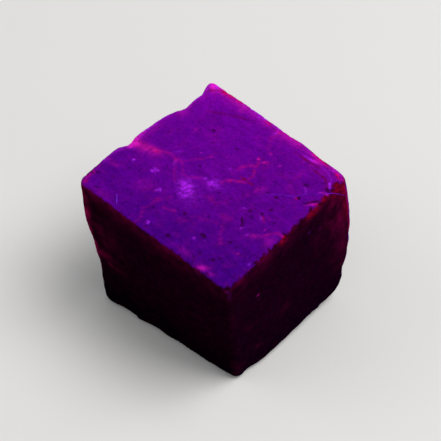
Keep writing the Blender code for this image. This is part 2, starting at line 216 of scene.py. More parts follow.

# Veins of the top face, painted with their pink-red glow: strength, half width, path.
GLOWING_VEINS = (
    (0.95, 0.42, ((-10.8, -2.5), (-10.4, -2.3), (-9.3, -1.95), (-8.5, -1.8), (-7.7, -1.6))),
    (0.42, 0.22, ((-7.7, -1.6), (-7.0, -1.1), (-6.2, -0.9), (-5.3, -1.0), (-4.6, -0.8))),
    (0.42, 0.16, ((-4.6, -0.8), (-4.2, -0.1), (-3.6, 0.5), (-3.2, 1.1), (-2.9, 1.9), (-2.8, 2.4))),
    (0.48, 0.15, ((-4.6, -0.8), (-4.0, -1.6), (-3.5, -2.0), (-2.9, -2.0), (-2.2, -1.6), (-1.5, -1.0))),
    (0.28, 0.20, ((-5.4, -1.0), (-5.0, -1.6), (-4.4, -2.3), (-3.8, -2.9), (-3.3, -3.4))),
    (0.22, 0.18, ((-5.1, 5.4), (-4.6, 4.5), (-4.1, 3.8))),
    (0.85, 0.15, ((0.4, -0.1), (0.6, 0.5), (0.9, 0.9), (1.5, 1.2), (2.3, 1.7))),
    (0.75, 0.17, ((2.2, 2.0), (2.2, 2.4), (2.3, 2.9), (2.2, 3.3), (1.8, 3.6))),
    (0.75, 0.20, ((0.5, 2.6), (0.6, 3.2), (0.9, 3.6), (1.3, 4.0), (1.7, 4.2), (1.4, 4.7), (1.1, 5.2))),
    (0.65, 0.22, ((1.9, 4.9), (2.1, 5.3), (2.3, 5.2))),
    (0.40, 0.34, ((0.2, 9.6), (0.2, 8.2))),
    (0.26, 0.21, ((0.2, 8.2), (0.6, 7.5), (1.0, 6.8), (1.6, 6.5))),
    (0.22, 0.26, ((5.7, 8.6), (5.8, 7.0), (5.8, 5.3), (6.2, 4.5), (6.8, 4.1), (7.5, 4.3))),
    (0.25, 0.21, ((5.8, 5.1), (4.0, 5.1))),
    (0.60, 0.20, ((8.4, -2.7), (8.5, -2.3), (8.8, -1.6), (9.3, -0.9), (9.85, -0.9))),
    (0.28, 0.21, ((4.1, -3.3), (4.4, -4.2), (4.9, -4.8), (5.4, -5.5), (5.9, -6.0))),
    (0.12, 0.20, ((4.4, -4.2), (3.5, -4.4), (2.4, -4.8), (1.6, -5.3), (1.0, -6.0), (0.8, -6.6))),
    (0.34, 0.17, ((-2.1, -5.2), (-2.5, -5.8), (-2.8, -6.4), (-2.9, -7.0), (-3.0, -7.7), (-3.3, -8.2))),
    (0.28, 0.18, ((-3.3, -8.2), (-2.9, -8.7), (-2.5, -9.3), (-2.5, -10.0), (-2.7, -10.5))),
    (0.25, 0.18, ((-10.9, -6.0), (-10.2, -6.0), (-9.4, -6.1))),
    (0.50, 0.15, ((-1.67, -6.74), (-1.1, -6.55), (-0.5, -6.25))),
    (0.32, 0.50, ((3.8, -3.2), (4.15, -3.0))),
    (0.22, 0.42, ((0.75, -2.5), (1.0, -2.45))),
    (0.34, 0.26, ((0.6, -6.7), (1.3, -6.2))),
    (0.30, 0.18, ((3.6, 0.5), (3.8, 1.2), (3.9, 2.0))),
    (0.30, 0.18, ((-8.8, 1.8), (-8.3, 1.0))),
    (0.28, 0.23, ((2.7, -1.6), (2.0, -2.5), (0.6, -2.5))),
    (0.35, 0.17, ((7.4, -0.2), (6.9, -0.5), (7.3, -0.9))),
)
# Cracks with painted shade and a little painted red glow: strength, half width, path.
CRACKS = (
    (0.90, 0.13, ((1.4, 1.9), (2.0, 2.0), (2.4, 1.85), (3.0, 2.0))),
    (0.80, 0.12, ((-7.9, 6.35), (-7.0, 6.8), (-6.06, 7.37), (-5.04, 7.92), (-3.94, 8.37), (-2.93, 8.93))),
    (0.95, 0.11, ((-10.07, 8.29), (-9.7, 9.07), (-9.21, 9.54), (-8.66, 9.63))),
    (1.00, 0.15, ((3.34, 8.54), (4.47, 8.58), (5.43, 8.64), (6.16, 8.79), (6.58, 8.80))),
    (1.00, 0.17, ((6.35, 8.22), (7.4, 7.98), (7.95, 8.01), (8.37, 7.85), (8.89, 7.41), (9.09, 7.0))),
    (1.00, 0.11, ((6.52, 10.0), (7.0, 9.95), (7.61, 9.78))),
    (1.00, 0.10, ((8.9, 4.15), (9.12, 4.51), (9.4, 4.9), (9.69, 5.3))),
    (0.45, 0.26, ((8.9, 7.3), (9.3, 6.9), (9.6, 6.8))),
    (0.40, 0.10, ((5.5, -2.1), (6.1, -2.9))),
    (0.35, 0.10, ((-4.9, -6.3), (-4.2, -5.6))),
)
# Painted shade in small marks of the top face, most of them in a pit: x, y, half length, half width, turn,
# strength.
PIT_SHADES = (
    (0.49, -5.76, 0.21, 0.18, 0.0, 1.00),
    (1.25, -8.97, 0.28, 0.25, 0.0, 1.00),
    (3.84, -6.45, 0.38, 0.22, 10.0, 1.00),
    (6.49, -5.19, 0.36, 0.13, 43.0, 1.00),
    (7.44, -5.15, 0.22, 0.18, 43.0, 0.54),
    (5.45, -2.25, 0.47, 0.15, -47.0, 1.00),
    (5.90, -2.75, 0.25, 0.15, -47.0, 1.00),
    (6.42, -0.21, 0.22, 0.22, 0.0, 0.81),
    (5.26, -0.81, 0.28, 0.25, 0.0, 0.81),
    (5.87, -1.31, 0.28, 0.22, 0.0, 0.54),
    (6.02, 2.44, 0.30, 0.17, 43.0, 1.00),
    (4.96, 2.34, 0.22, 0.16, 43.0, 0.68),
    (7.80, 4.05, 0.21, 0.21, 0.0, 1.00),
    (6.77, 0.81, 0.29, 0.16, 43.0, 1.00),
    (8.12, -0.23, 0.30, 0.16, 43.0, 0.61),
    (5.09, -9.06, 0.22, 0.22, 0.0, 0.61),
    (6.78, -8.01, 0.22, 0.22, 0.0, 0.94),
    (6.50, -8.25, 0.16, 0.16, 0.0, 0.68),
    (7.21, -7.44, 0.20, 0.22, 0.0, 0.74),
    (5.20, -8.29, 0.22, 0.20, 0.0, 0.68),
    (7.52, -9.66, 0.21, 0.21, 0.0, 0.68),
    (-8.88, -9.64, 0.29, 0.12, 43.0, 1.00),
    (7.25, 5.95, 0.38, 0.16, 20.0, 0.94),
    (-5.33, 4.73, 0.25, 0.17, 43.0, 1.00),
    (-4.08, 3.42, 0.18, 0.16, 43.0, 0.61),
    (-2.84, 0.01, 0.19, 0.17, 43.0, 0.94),
    (-1.61, 4.56, 0.20, 0.16, 43.0, 0.68),
    (-10.75, -8.60, 0.25, 0.16, 0.0, 0.94),
    (-10.20, -8.10, 0.25, 0.13, 43.0, 1.00),
    (9.35, 4.85, 0.56, 0.13, 54.0, 1.00),
    (8.85, 4.00, 0.45, 0.13, 50.0, 0.74),
)
# Places where the ground top is broken away at its rim: x, y, half length, half width, turn, strength.
NICKS = (
    (10.45, -9.75, 0.95, 0.55, 48.0, 1.00),
    (10.35, -8.45, 0.40, 0.25, 80.0, 1.00),
    (9.75, 7.75, 0.50, 0.30, 70.0, 0.80),
    (9.30, 7.05, 0.34, 0.20, -20.0, 0.80),
    (9.45, 8.35, 0.60, 0.36, 80.0, 1.00),
    (9.95, 5.3, 0.45, 0.22, 70.0, 1.00),
    (10.2, 3.5, 0.60, 0.25, 85.0, 1.00),
    (10.15, 1.6, 0.50, 0.22, 90.0, 1.00),
    (10.25, -0.8, 0.45, 0.30, 90.0, 1.00),
    (10.35, -3.2, 0.50, 0.18, 90.0, 1.00),
    (10.45, -5.9, 0.45, 0.20, 90.0, 1.00),
)
# Soft clouds of painted pink glow on the top face: x, y, half length, half width, turn in degrees, strength.
PINK_GLOWS = (
    (-8.6, -2.1, 2.0, 0.8, 15.0, 0.40),
    (-10.4, -2.4, 0.9, 0.5, 10.0, 0.95),
    (-9.9, 9.5, 1.0, 0.7, -30.0, 0.95),
    (-9.7, 7.6, 0.6, 1.4, 0.0, 0.12),
    (-9.9, 4.4, 0.9, 1.0, 0.0, 0.25),
    (-10.3, 0.5, 0.5, 3.0, 0.0, 0.12),
    (-9.8, -6.2, 0.9, 0.25, 20.0, 0.12),
    (6.65, -9.50, 0.75, 0.42, 43.0, 0.50),
    (7.82, -9.45, 0.55, 0.36, 43.0, 0.20),
    (3.99, -9.2, 0.9, 0.5, 0.0, 0.18),
    (7.7, -3.0, 0.8, 0.4, 43.0, 0.30),
    (9.4, -2.4, 0.6, 1.0, 0.0, 0.18),
    (5.9, 9.35, 0.80, 0.36, 15.0, 0.95),
    (6.2, 8.7, 2.4, 1.0, -5.0, 0.16),
    (8.6, 8.9, 0.8, 0.8, 0.0, 0.14),
    (7.8, 9.55, 0.55, 0.22, 15.0, 0.35),
    (9.25, 9.6, 0.40, 0.30, -45.0, 0.35),
    (1.2, 9.4, 1.4, 0.5, 0.0, 0.22),
    (-5.1, 9.1, 0.6, 0.6, 0.0, 0.30),
    (-5.4, -5.9, 1.4, 0.8, 20.0, 0.16),
    (-6.8, 3.4, 0.3, 0.5, 0.0, 0.16),
    (4.2, 2.2, 0.9, 0.7, 0.0, 0.12),
    (1.59, 6.57, 0.24, 0.14, 43.0, 0.45),
    (3.47, 5.93, 0.17, 0.15, 0.0, 0.45),
    (1.04, 5.07, 0.17, 0.17, 0.0, 0.70),
    (1.85, 5.15, 0.32, 0.14, 43.0, 0.75),
    (0.9, 0.7, 0.22, 0.26, 0.0, 0.30),
    (-4.09, 1.46, 0.17, 0.13, 43.0, 0.50),
    (-2.77, 1.82, 0.32, 0.11, 43.0, 0.35),
    (-4.93, 4.2, 0.14, 0.55, -47.0, 0.18),
    (-5.3, -1.2, 0.30, 0.40, 30.0, 0.20),
    (-3.95, -5.75, 0.20, 0.16, 0.0, 0.40),
    (8.06, -1.56, 0.17, 0.17, 0.0, 0.40),
    (8.07, -5.67, 0.20, 0.17, 43.0, 0.30),
    (10.2, -4.96, 0.16, 0.18, 0.0, 0.25),
    (1.8, -8.3, 0.45, 0.30, 0.0, 0.15),
    (-8.0, -9.9, 1.2, 0.5, 0.0, 0.10),
)
# Painted highlights of the lamp and painted glow of dust specks, where the grain is also rougher: x, y, half
# length, half width, turn, strength.
HIGHLIGHTS = (
    (-1.62, -3.36, 1.45, 0.90, -37.0, 0.95),
    (-1.50, -3.40, 0.85, 0.55, -37.0, 1.00),
    (-2.25, -3.10, 0.60, 0.50, 0.0, 0.80),
    (-0.10, -0.82, 1.00, 0.80, 10.0, 0.42),
    (0.00, -0.85, 0.45, 0.35, 0.0, 0.55),
    (-1.11, -0.85, 0.40, 0.36, 0.0, 0.35),
    (-1.5, -3.3, 2.2, 1.5, -30.0, 0.20),
    (-0.3, -0.9, 1.8, 1.0, 10.0, 0.14),
    (-8.71, -4.32, 0.17, 0.19, 0.0, 1.00),
    (-6.15, -3.97, 0.19, 0.17, 0.0, 0.85),
    (-5.73, -3.57, 0.19, 0.17, 0.0, 0.90),
    (-6.14, -3.56, 0.22, 0.20, 0.0, 0.50),
    (-5.94, -3.77, 0.36, 0.34, 0.0, 0.35),
    (-3.64, -5.33, 0.19, 0.17, 0.0, 1.00),
    (-3.90, -5.60, 0.17, 0.15, 0.0, 0.70),
    (-3.75, -5.40, 0.38, 0.34, 0.0, 0.30),
    (-5.1, -1.6, 0.26, 0.30, 30.0, 0.40),
    (-1.49, -9.17, 0.26, 0.18, -47.0, 0.85),
    (-0.3, 1.9, 0.35, 0.35, 0.0, 0.22),
    (-4.0, 1.5, 0.20, 0.12, 43.0, 0.30),
    (4.57, -0.99, 0.27, 0.10, 43.0, 0.55),
    (6.16, -3.01, 0.24, 0.16, 43.0, 0.50),
    (7.09, -3.41, 0.28, 0.10, 43.0, 0.50),
    (6.71, -0.69, 0.24, 0.14, -47.0, 0.55),
    (3.42, -7.34, 0.19, 0.19, 0.0, 0.45),
    (4.47, -6.79, 0.22, 0.12, 43.0, 0.40),
    (9.77, -5.87, 0.17, 0.17, 0.0, 0.60),
    (10.2, -4.96, 0.15, 0.15, 0.0, 0.30),
    (7.7, 5.35, 0.42, 0.16, -60.0, 0.55),
    (7.35, 5.55, 0.26, 0.14, -60.0, 0.45),
    (0.0, 9.0, 0.30, 0.30, 0.0, 0.30),
    (-2.9, 9.6, 0.40, 0.22, 0.0, 0.55),
    (4.95, 9.0, 0.60, 0.13, 8.0, 0.80),
    (5.8, 9.25, 0.45, 0.18, 15.0, 0.40),
    (6.6, 9.35, 0.80, 0.10, 10.0, 0.30),
    (7.3, 9.0, 0.80, 0.10, -10.0, 0.30),
    (7.7, 9.6, 0.50, 0.20, 15.0, 0.50),
    (8.1, 8.75, 0.70, 0.10, -25.0, 0.35),
    (8.6, 8.45, 0.50, 0.10, -40.0, 0.35),
    (9.0, 7.7, 0.50, 0.17, -50.0, 0.95),
    (-6.0, -0.2, 0.7, 0.16, 50.0, 0.16),
)
# Glowing lines of the top face and its rim: path in plan, half width, pink, red and violet share of painted
# glow.
GLOWS = (
    (((-10.4, 9.9), (-9.2, 9.95)), 0.50, 1.00, 0.00, 0.40),
    (((-9.1, 9.75), (-8.7, 9.75), (-7.9, 9.8), (-7.2, 9.85)), 0.27, 0.10, 0.95, 0.00),
    (((-8.6, 9.95), (-6.0, 9.95)), 0.28, 0.20, 0.45, 0.00),
    (((-8.8, 10.0), (-5.0, 10.0)), 0.85, 0.48, 0.00, 0.00),
    (((-5.0, 10.0), (-3.6, 10.0)), 0.80, 0.34, 0.00, 0.05),
    (((-4.4, 10.0), (-2.2, 10.0)), 0.24, 0.10, 0.00, 0.45),
    (((-3.6, 10.0), (-0.2, 10.0)), 0.85, 0.26, 0.00, 0.00),
    (((-2.0, 9.75), (-1.3, 9.7)), 0.20, 0.00, 0.60, 0.00),
    (((-1.0, 10.0), (0.0, 10.0)), 0.24, 0.10, 0.00, 0.45),
    (((0.3, 10.0), (2.6, 10.0)), 0.85, 0.48, 0.10, 0.00),
    (((2.6, 10.0), (4.6, 10.0)), 0.60, 0.26, 0.00, 0.05),
    (((4.9, 9.95), (7.2, 10.0)), 0.45, 0.50, 0.20, 0.00),
    (((4.9, 9.9), (6.6, 10.0)), 0.22, 0.10, 0.65, 0.00),
    (((6.4, 9.75), (7.6, 9.65)), 0.20, 0.10, 0.40, 0.00),
    (((7.2, 10.0), (8.6, 9.85)), 0.26, 0.60, 0.00, 0.25),
    (((8.35, 9.60), (8.75, 9.42), (9.15, 9.15)), 0.24, 0.00, 1.00, 0.00),
    (((9.0, 9.9), (9.5, 9.5)), 0.24, 0.45, 0.45, 0.00),
    (((9.9, 8.95), (10.0, 8.2), (10.1, 7.4)), 0.32, 0.00, 0.45, 0.00),
    (((9.02, 6.08), (9.35, 6.4), (9.67, 6.66)), 0.12, 0.50, 0.10, 0.30),
    (((8.96, 3.73), (9.4, 4.3)), 0.10, 0.25, 0.15, 0.05),
    (((9.4, 4.3), (9.76, 4.74)), 0.14, 0.30, 0.35, 0.05),
    (((9.9, 4.5), (10.05, 3.8), (10.05, 3.0)), 0.16, 0.00, 0.28, 0.00),
    (((-10.4, 9.6), (-10.2, 8.4)), 0.30, 0.45, 0.00, 0.30),
    (((-10.2, 8.4), (-10.0, 5.8)), 0.26, 0.28, 0.00, 0.35),
    (((-10.0, 5.6), (-10.5, 4.4)), 0.32, 0.45, 0.10, 0.30),
    (((-10.7, 3.6), (-10.9, 1.0)), 0.22, 0.28, 0.00, 0.40),
    (((-10.9, 1.0), (-10.9, -0.6)), 0.26, 0.35, 0.00, 0.40),
    (((-10.9, -0.6), (-10.8, -1.8)), 0.34, 0.55, 0.00, 0.25),
    (((-10.8, -1.9), (-10.7, -3.0)), 0.45, 0.95, 0.00, 0.20),
    (((-10.9, -3.6), (-11.3, -5.2), (-11.1, -6.6)), 0.34, 0.17, 0.00, 0.20),
    (((-11.0, -7.0), (-10.8, -8.0)), 0.20, 0.05, 0.06, 0.00),
    (((-10.7, -8.3), (-10.5, -10.3)), 0.20, 0.08, 0.30, 0.00),
)
# Split places of the top face where it glows red: x, y, half length, half width, turn, strength.
RED_GLOW_SPOTS = (
    (9.9, 8.7, 0.6, 0.40, -70.0, 0.55),
    (10.2, 7.3, 0.35, 0.8, 0.0, 0.36),
    (9.6, 7.9, 0.40, 0.25, 70.0, 0.25),
    (9.75, 6.0, 0.25, 0.80, 0.0, 0.30),
    (5.9, 9.9, 0.9, 0.16, 5.0, 0.60),
    (10.05, -0.85, 0.26, 0.20, 90.0, 0.70),
    (10.2, -1.4, 0.45, 0.16, 90.0, 0.40),
    (6.88, -0.56, 0.34, 0.11, -47.0, 0.65),
    (7.62, 3.90, 0.15, 0.17, 0.0, 0.75),
    (2.2, 1.95, 0.8, 0.15, 0.0, 0.65),
    (0.95, 0.75, 0.22, 0.20, 0.0, 0.45),
    (1.85, 5.15, 0.30, 0.13, 43.0, 0.35),
    (-10.6, -8.5, 0.30, 0.24, 0.0, 0.60),
    (-10.3, -9.9, 0.28, 0.45, 0.0, 0.50),
    (-3.0, -6.3, 0.35, 0.14, 60.0, 0.30),
)
# Painted red glow on the sides: place, half size, strength.
FIRES = (
    ((10.3, 9.1, 19.0), (0.7, 0.8, 0.9), 0.48),
    ((9.45, 8.5, 19.6), (0.5, 0.5, 0.5), 0.20),
    ((10.7, 9.2, 16.8), (0.5, 0.6, 1.8), 0.25),
    ((10.2, -0.9, 19.2), (0.4, 0.4, 0.4), 0.18),
    ((-11.0, -10.5, 18.8), (0.6, 0.6, 0.8), 0.40),
    ((10.1, 3.8, 19.3), (0.4, 1.0, 0.4), 0.22),
)
# Glow of the sides: place, half size, strength. It shows where the stone is thin or split.
EMBERS = (
    ((-11.0, -10.4, 17.5), (0.8, 0.9, 2.4), 0.36),
    ((-11.0, -10.4, 12.5), (0.9, 1.0, 3.6), 0.42),
    ((-10.6, -10.4, 10.2), (0.9, 1.0, 1.0), 0.34),
    ((-8.3, -10.4, 9.4), (1.6, 1.0, 0.40), 0.34),
    ((-6.6, -10.4, 8.5), (1.0, 1.0, 0.40), 0.22),
    ((-10.6, -10.4, 6.0), (0.8, 1.0, 3.0), 0.26),
    ((-8.0, -10.5, 13.0), (2.4, 1.2, 3.0), 0.10),
    ((10.3, -8.3, 2.5), (0.7, 0.9, 1.6), 0.07),
    ((10.5, -9.0, 10.0), (0.35, 0.40, 8.0), 0.06),
    ((10.6, -9.6, 17.0), (0.5, 0.6, 1.8), 0.08),
    ((10.81, -6.31, 9.2), (0.5, 0.5, 0.5), 0.12),
    ((10.76, -4.82, 4.59), (0.5, 0.6, 0.4), 0.10),
    ((10.9, -0.5, 7.5), (1.0, 1.0, 0.9), 0.05),
    ((10.9, 5.0, 15.0), (1.0, 1.6, 1.8), 0.06),
    ((10.6, 7.6, 18.2), (1.4, 1.6, 1.4), 0.30),
    ((10.7, 8.0, 15.5), (1.4, 1.8, 3.0), 0.24),
    ((11.0, 8.4, 11.5), (1.4, 1.6, 3.0), 0.16),
    ((11.0, 8.6, 8.0), (1.2, 1.4, 2.2), 0.08),
    ((-10.2, 10.0, 15.5), (1.4, 1.4, 4.5), 0.55),
    ((-10.0, 10.0, 8.0), (1.0, 1.0, 3.6), 0.30),
    ((-4.0, 10.4, 15.0), (3.0, 1.2, 2.2), 0.16),
    ((-10.8, -3.0, 16.5), (1.2, 1.2, 2.0), 0.45),
    ((-10.6, 5.4, 17.0), (1.2, 1.2, 1.6), 0.35),
)
# Glow under the rim of the sides facing -y, +x, +y and -x: share, depth.
EMBER_BANDS = ((0.34, 1.2), (0.22, 0.9), (0.45, 1.5), (0.50, 1.6))
BAND_FACING = (0.3, 0.8)  # how much a place has to face that way
BAND_LOSS, BAND_LOSS_X, BAND_LOSS_Y = 0.5, (0.0, 9.0), (-8.0, -9.5)  # what it loses towards F
# Small specks of painted pink and violet glow on the side between F and R: place, half size, pink share,
# violet share.
SIDE_GLOW_SPECKS = (
    ((10.7, -5.22, 14.25), (0.18, 0.16, 0.16), 0.60, 0.0),
    ((10.7, -5.0, 13.3), (0.16, 0.13, 0.13), 0.30, 0.0),
    ((10.42, 3.06, 17.05), (0.18, 0.18, 0.13), 0.0, 0.14),
    ((10.5, 4.8, 16.3), (0.16, 0.10, 0.10), 0.05, 0.06),
    ((10.8, 0.9, 17.6), (0.16, 0.12, 0.12), 0.3, 0.0),
    ((10.9, -2.6, 15.2), (0.16, 0.12, 0.12), 0.3, 0.0),
    ((10.45, -9.7, 19.04), (0.26, 0.24, 0.22), 0.03, 0.06),
    ((10.5, -9.52, 18.3), (0.22, 0.20, 0.70), 0.015, 0.035),
)
# Ridges that glow: direction they face, tilts, heights, share, for the red light and for the violet sheen.
RED_RIDGES = (
    ((0.721, 0.693, 0.0), (0.74, 0.93), (4.0, 15.0, 18.5, 19.8), 0.95),
)
VIOLET_RIDGES = (
    ((0.721, 0.693, 0.0), (0.84, 1.00), (2.0, 10.0, 18.5, 19.8), 0.46),
)
RIDGE_REACH = (11.8, 12.8)  # the glowing ridges lie at least this far out from the middle
# Glow along the edge of the split at L: share, reach inwards, heights.
SPLIT_GLOW = (0.68, (0.95, 0.22), (4.5, 10.0, 14.5, 21.5))
SPLIT_CORNER = 0.35  # the worn edge at L lies inside the unworn one by this share of its wear
# Faint inner light of the sides facing -y, +x, +y and -x: red at the foot, red near the top, violet at both.
SIDE_LIGHT = (
    (0.001, 0.022, 0.0004, 0.0018),
    (0.011, 0.023, 0.0038, 0.0042),
    (0.008, 0.032, 0.0020, 0.0040),
    (0.008, 0.036, 0.0020, 0.0040),
)
SIDE_LIGHT_RISE = (1.0, 10.0)  # it grows between these heights


class RubyStone(bpy.types.PropertyGroup):
    """Sizes and colours of the stone; most colours stand for painted lamp light, painted shade and painted
    glow.
    """

    edge: FloatProperty(
        name="Edge", description="Nominal length of each edge", default=0.020, min=0.005, unit="LENGTH"
    )
    rows_across: IntProperty(
        name="Rows Across", description="Rows of points along each edge of the top", default=176, min=20
    )
    rows_down: IntProperty(
        name="Rows Down", description="Rows of points from the top to the base", default=84, min=10
    )
    chip_share: FloatProperty(
        name="Chips", description="Depth of the small rim chips, 1 as found", default=1.0, min=0.0, max=2.0
    )
    fracture_height: FloatProperty(
        name="Fracture Height", description="Relief of the broken sides", default=0.00003, unit="LENGTH"
    )
    grain_depth: FloatProperty(
        name="Grain Depth", description="Depth of the finest grain", default=0.00003, unit="LENGTH"
    )
    # The top's violet colours are painted light of a lamp above, lighter towards the rear.
    lit_front_colour: FloatVectorProperty(
        name="Front", description="Top face near the front", subtype="COLOR", default=(0.046, 0.0002, 0.180)
    )
    lit_rear_colour: FloatVectorProperty(
        name="Rear", description="Top face near the rear", subtype="COLOR", default=(0.160, 0.0004, 0.310)
    )
    # Painted pink-red glow of the veins.
    vein_colour: FloatVectorProperty(
        name="Veins", description="Veins of the top face", subtype="COLOR", default=(0.45, 0.004, 0.160)
    )
    # Painted pink glow of clouds and rims.
    blush_colour: FloatVectorProperty(
        name="Blush", description="Pink clouds and glowing rims", subtype="COLOR", default=(0.80, 0.011, 0.50)
    )
    # Painted red glow of chips, splits and rims.
    scarlet_colour: FloatVectorProperty(
        name="Scarlet", description="Fresh chips and rims", subtype="COLOR", default=(0.62, 0.001, 0.030)
    )
    # Painted violet highlights and glow.
    highlight_colour: FloatVectorProperty(
        name="Frost", description="Crushed places", subtype="COLOR", default=(0.50, 0.020, 1.0)
    )
    # Painted shade at the bottoms of pits.
    pit_colour: FloatVectorProperty(
        name="Pits", description="Bottoms of pits", subtype="COLOR", default=(0.030, 0.0002, 0.034)
    )
    # Painted shade in open cracks, tinted by painted red glow.
    crack_colour: FloatVectorProperty(
        name="Cracks", description="Open cracks", subtype="COLOR", default=(0.125, 0.0003, 0.020)
    )
    # Near-black painted shade of the sides, where the lamp above does not reach.
    shaded_side_colour: FloatVectorProperty(
        name="Sides", description="Sides without glow", subtype="COLOR", default=(0.0010, 0.0001, 0.0012)
    )
    ember_colour: FloatVectorProperty(
        name="Embers", description="Glow of the sides", subtype="COLOR", default=(0.26, 0.0006, 0.065)
    )
    sheen_colour: FloatVectorProperty(
        name="Sheen", description="Sheen of the broken ridge", subtype="COLOR", default=(0.06, 0.002, 0.62)
    )


class RubyLint(bpy.types.PropertyGroup):
    """Sizes of the lint and dust, and the colours of their painted blue-violet glow."""

    fibre_width: FloatProperty(
        name="Fibre Width", description="Thickness of the lint fibre", default=0.00020, unit="LENGTH"
    )
    # Painted blue-violet glow of the lint and dust.
    fibre_glow_colour: FloatVectorProperty(
        name="Fibre", description="The long lint fibre", subtype="COLOR", default=(0.185, 0.004, 0.55)
    )
    thread_glow_colour: FloatVectorProperty(
        name="Threads", description="The short threads", subtype="COLOR", default=(0.19, 0.014, 0.60)
    )
    dust_glow_colour: FloatVectorProperty(
        name="Dust", description="Colour of the dust grains", subtype="COLOR", default=(0.50, 0.020, 0.95)
    )


class RubyStage(bpy.types.PropertyGroup):
    """Floor, light and camera."""

    floor_size: FloatProperty(
        name="Floor Size", description="Width of the floor", default=4.0, unit="LENGTH"
    )
    floor_colour: FloatVectorProperty(
        name="Floor", description="Colour of the floor", subtype="COLOR", default=(0.76, 0.755, 0.75)
    )
    key_power: FloatProperty(
        name="Key Light", description="Power of the large soft light", default=2.4, unit="POWER"
    )
    fill_power: FloatProperty(
        name="Fill Light", description="Power of the weaker light", default=0.5, unit="POWER"
    )
    sky: FloatProperty(name="Sky", description="Brightness all around", default=0.35, subtype="FACTOR")
    lens: FloatProperty(
        name="Lens", description="Focal length on a 36 mm sensor", default=93.81, unit="CAMERA"
    )


# Forms of the stone.


def ramp(low, high, value):
    """0 below low, 1 above high, with a smooth slope between them."""
    t = np.clip((value - low) / (high - low), 0.0, 1.0)
    return t * t * (3.0 - 2.0 * t)


def bell(offset, width):
    """1 in the middle, fading to nothing at about twice the width."""
    return np.exp(-((offset / width) ** 2))


def soft_max(a, b, width):
    """The larger of a and b, with the crease between them rounded over the width."""
    near = np.clip(1.0 - np.abs(a - b) / width, 0.0, 1.0)
    return np.maximum(a, b) + 0.25 * width * near * near


def between_corners(x, y, values):
    """A value named at the corners L, F, R and B, spread evenly between them."""
    u = np.clip(0.5 + x / EDGE, 0.0, 1.0)
    v = np.clip(0.5 + y / EDGE, 0.0, 1.0)
    front = (1.0 - u) * values["L"] + u * values["F"]
    back = (1.0 - u) * values["B"] + u * values["R"]
    return (1.0 - v) * front + v * back


def path_distance(x, y, path):
    """Distance in plan to a path of straight stretches, and how far along it that is, from 0 to 1."""
    nearest = np.full_like(x, np.inf)
    along = np.zeros_like(x)
    stretches = len(path) - 1
    for i, ((ax, ay), (bx, by)) in enumerate(zip(path, path[1:])):
        dx, dy = bx - ax, by - ay
        t = np.clip(((x - ax) * dx + (y - ay) * dy) / (dx * dx + dy * dy), 0.0, 1.0)
        distance = np.hypot(x - ax - t * dx, y - ay - t * dy)
        closer = distance < nearest
        nearest = np.where(closer, distance, nearest)
        along = np.where(closer, (i + t) / stretches, along)
    return nearest, along


def oval(x, y, place_x, place_y, half_length, half_width, turn):
    """Distance from the middle of a turned oval, in plan, as a share of its half sizes."""
    cos, sin = np.cos(np.radians(turn)), np.sin(np.radians(turn))
    along = ((x - place_x) * cos + (y - place_y) * sin) / half_length
    across = ((y - place_y) * cos - (x - place_x) * sin) / half_width
    return np.hypot(along, across)


def pitted(x, y, pits):
    """How deep the pits are at each place in plan."""
    total = np.zeros_like(x)
    for pit_x, pit_y, length, width, turn, depth in pits:
        total += depth * bell(oval(x, y, pit_x, pit_y, 0.5 * length, 0.5 * width, turn), PIT_WIDTH)
    return total


def upright_at(name, z):
    """Where an upright edge stands at height z, before wear."""
    base, top, swell = UPRIGHTS[name]
    t = z / HEIGHT
    from_halfway = np.abs(2.0 * np.clip(t, 0.0, 1.0) - 1.0)
    fullness = swell * (1.0 - from_halfway**SWELL_ROUNDNESS) / np.sqrt(2.0)
    x = base[0] + (top[0] - base[0]) * t + np.sign(base[0]) * fullness
    y = base[1] + (top[1] - base[1]) * t + np.sign(base[1]) * fullness
    return x, y


def beyond_side(x, y, start, end):
    """How far a point lies outside the side face that runs between two upright edges."""
    dx, dy = end[0] - start[0], end[1] - start[1]
    length = np.hypot(dx, dy)
    return ((x - start[0]) * dy - (y - start[1]) * dx) / length


def towards_split(x, y):
    """How far a place lies from the middle towards the upright at L."""
    return SPLIT_DIRECTION[0] * x + SPLIT_DIRECTION[1] * y


def split_at(z):
    """How far from the middle the split at L lies at height z."""
    return np.where(
        z < SPLIT_LOW,
        SPLIT_AT_BASE + (SPLIT_AT_LEDGE - SPLIT_AT_BASE) * z / SPLIT_LOW,
        SPLIT_AT_LEDGE + (SPLIT_AT_TOP - SPLIT_AT_LEDGE) * ramp(SPLIT_LOW, SPLIT_HIGH, z),
    )


def rim_lobes(y, z):
    """Scallops of the rim between B and L, outwards."""
    total = np.zeros_like(y)
    for middle, reach_back, reach_left, depth, roundness in RIM_LOBES:
        reach = np.where(y > middle, reach_back, reach_left)
        t = np.clip(np.abs(y - middle) / reach, 0.0, 1.0)
        total = np.maximum(total, depth * (1.0 - t**roundness))
    return total * ramp(*RIM_LOBE_FADE, z)


def foot_swell(y, z):
    """Low swell at the foot of the side between F and R, outwards."""
    middle, width, most = FOOT_SWELL
    return most * bell(y - middle, width) * (1.0 - ramp(*FOOT_SWELL_FADE, z))


def ground_height(x, y):
    """Height of the top face as it was ground, without its ledges and hollows."""
    return HEIGHT + TOP_SLOPE[0] * x + TOP_SLOPE[1] * y


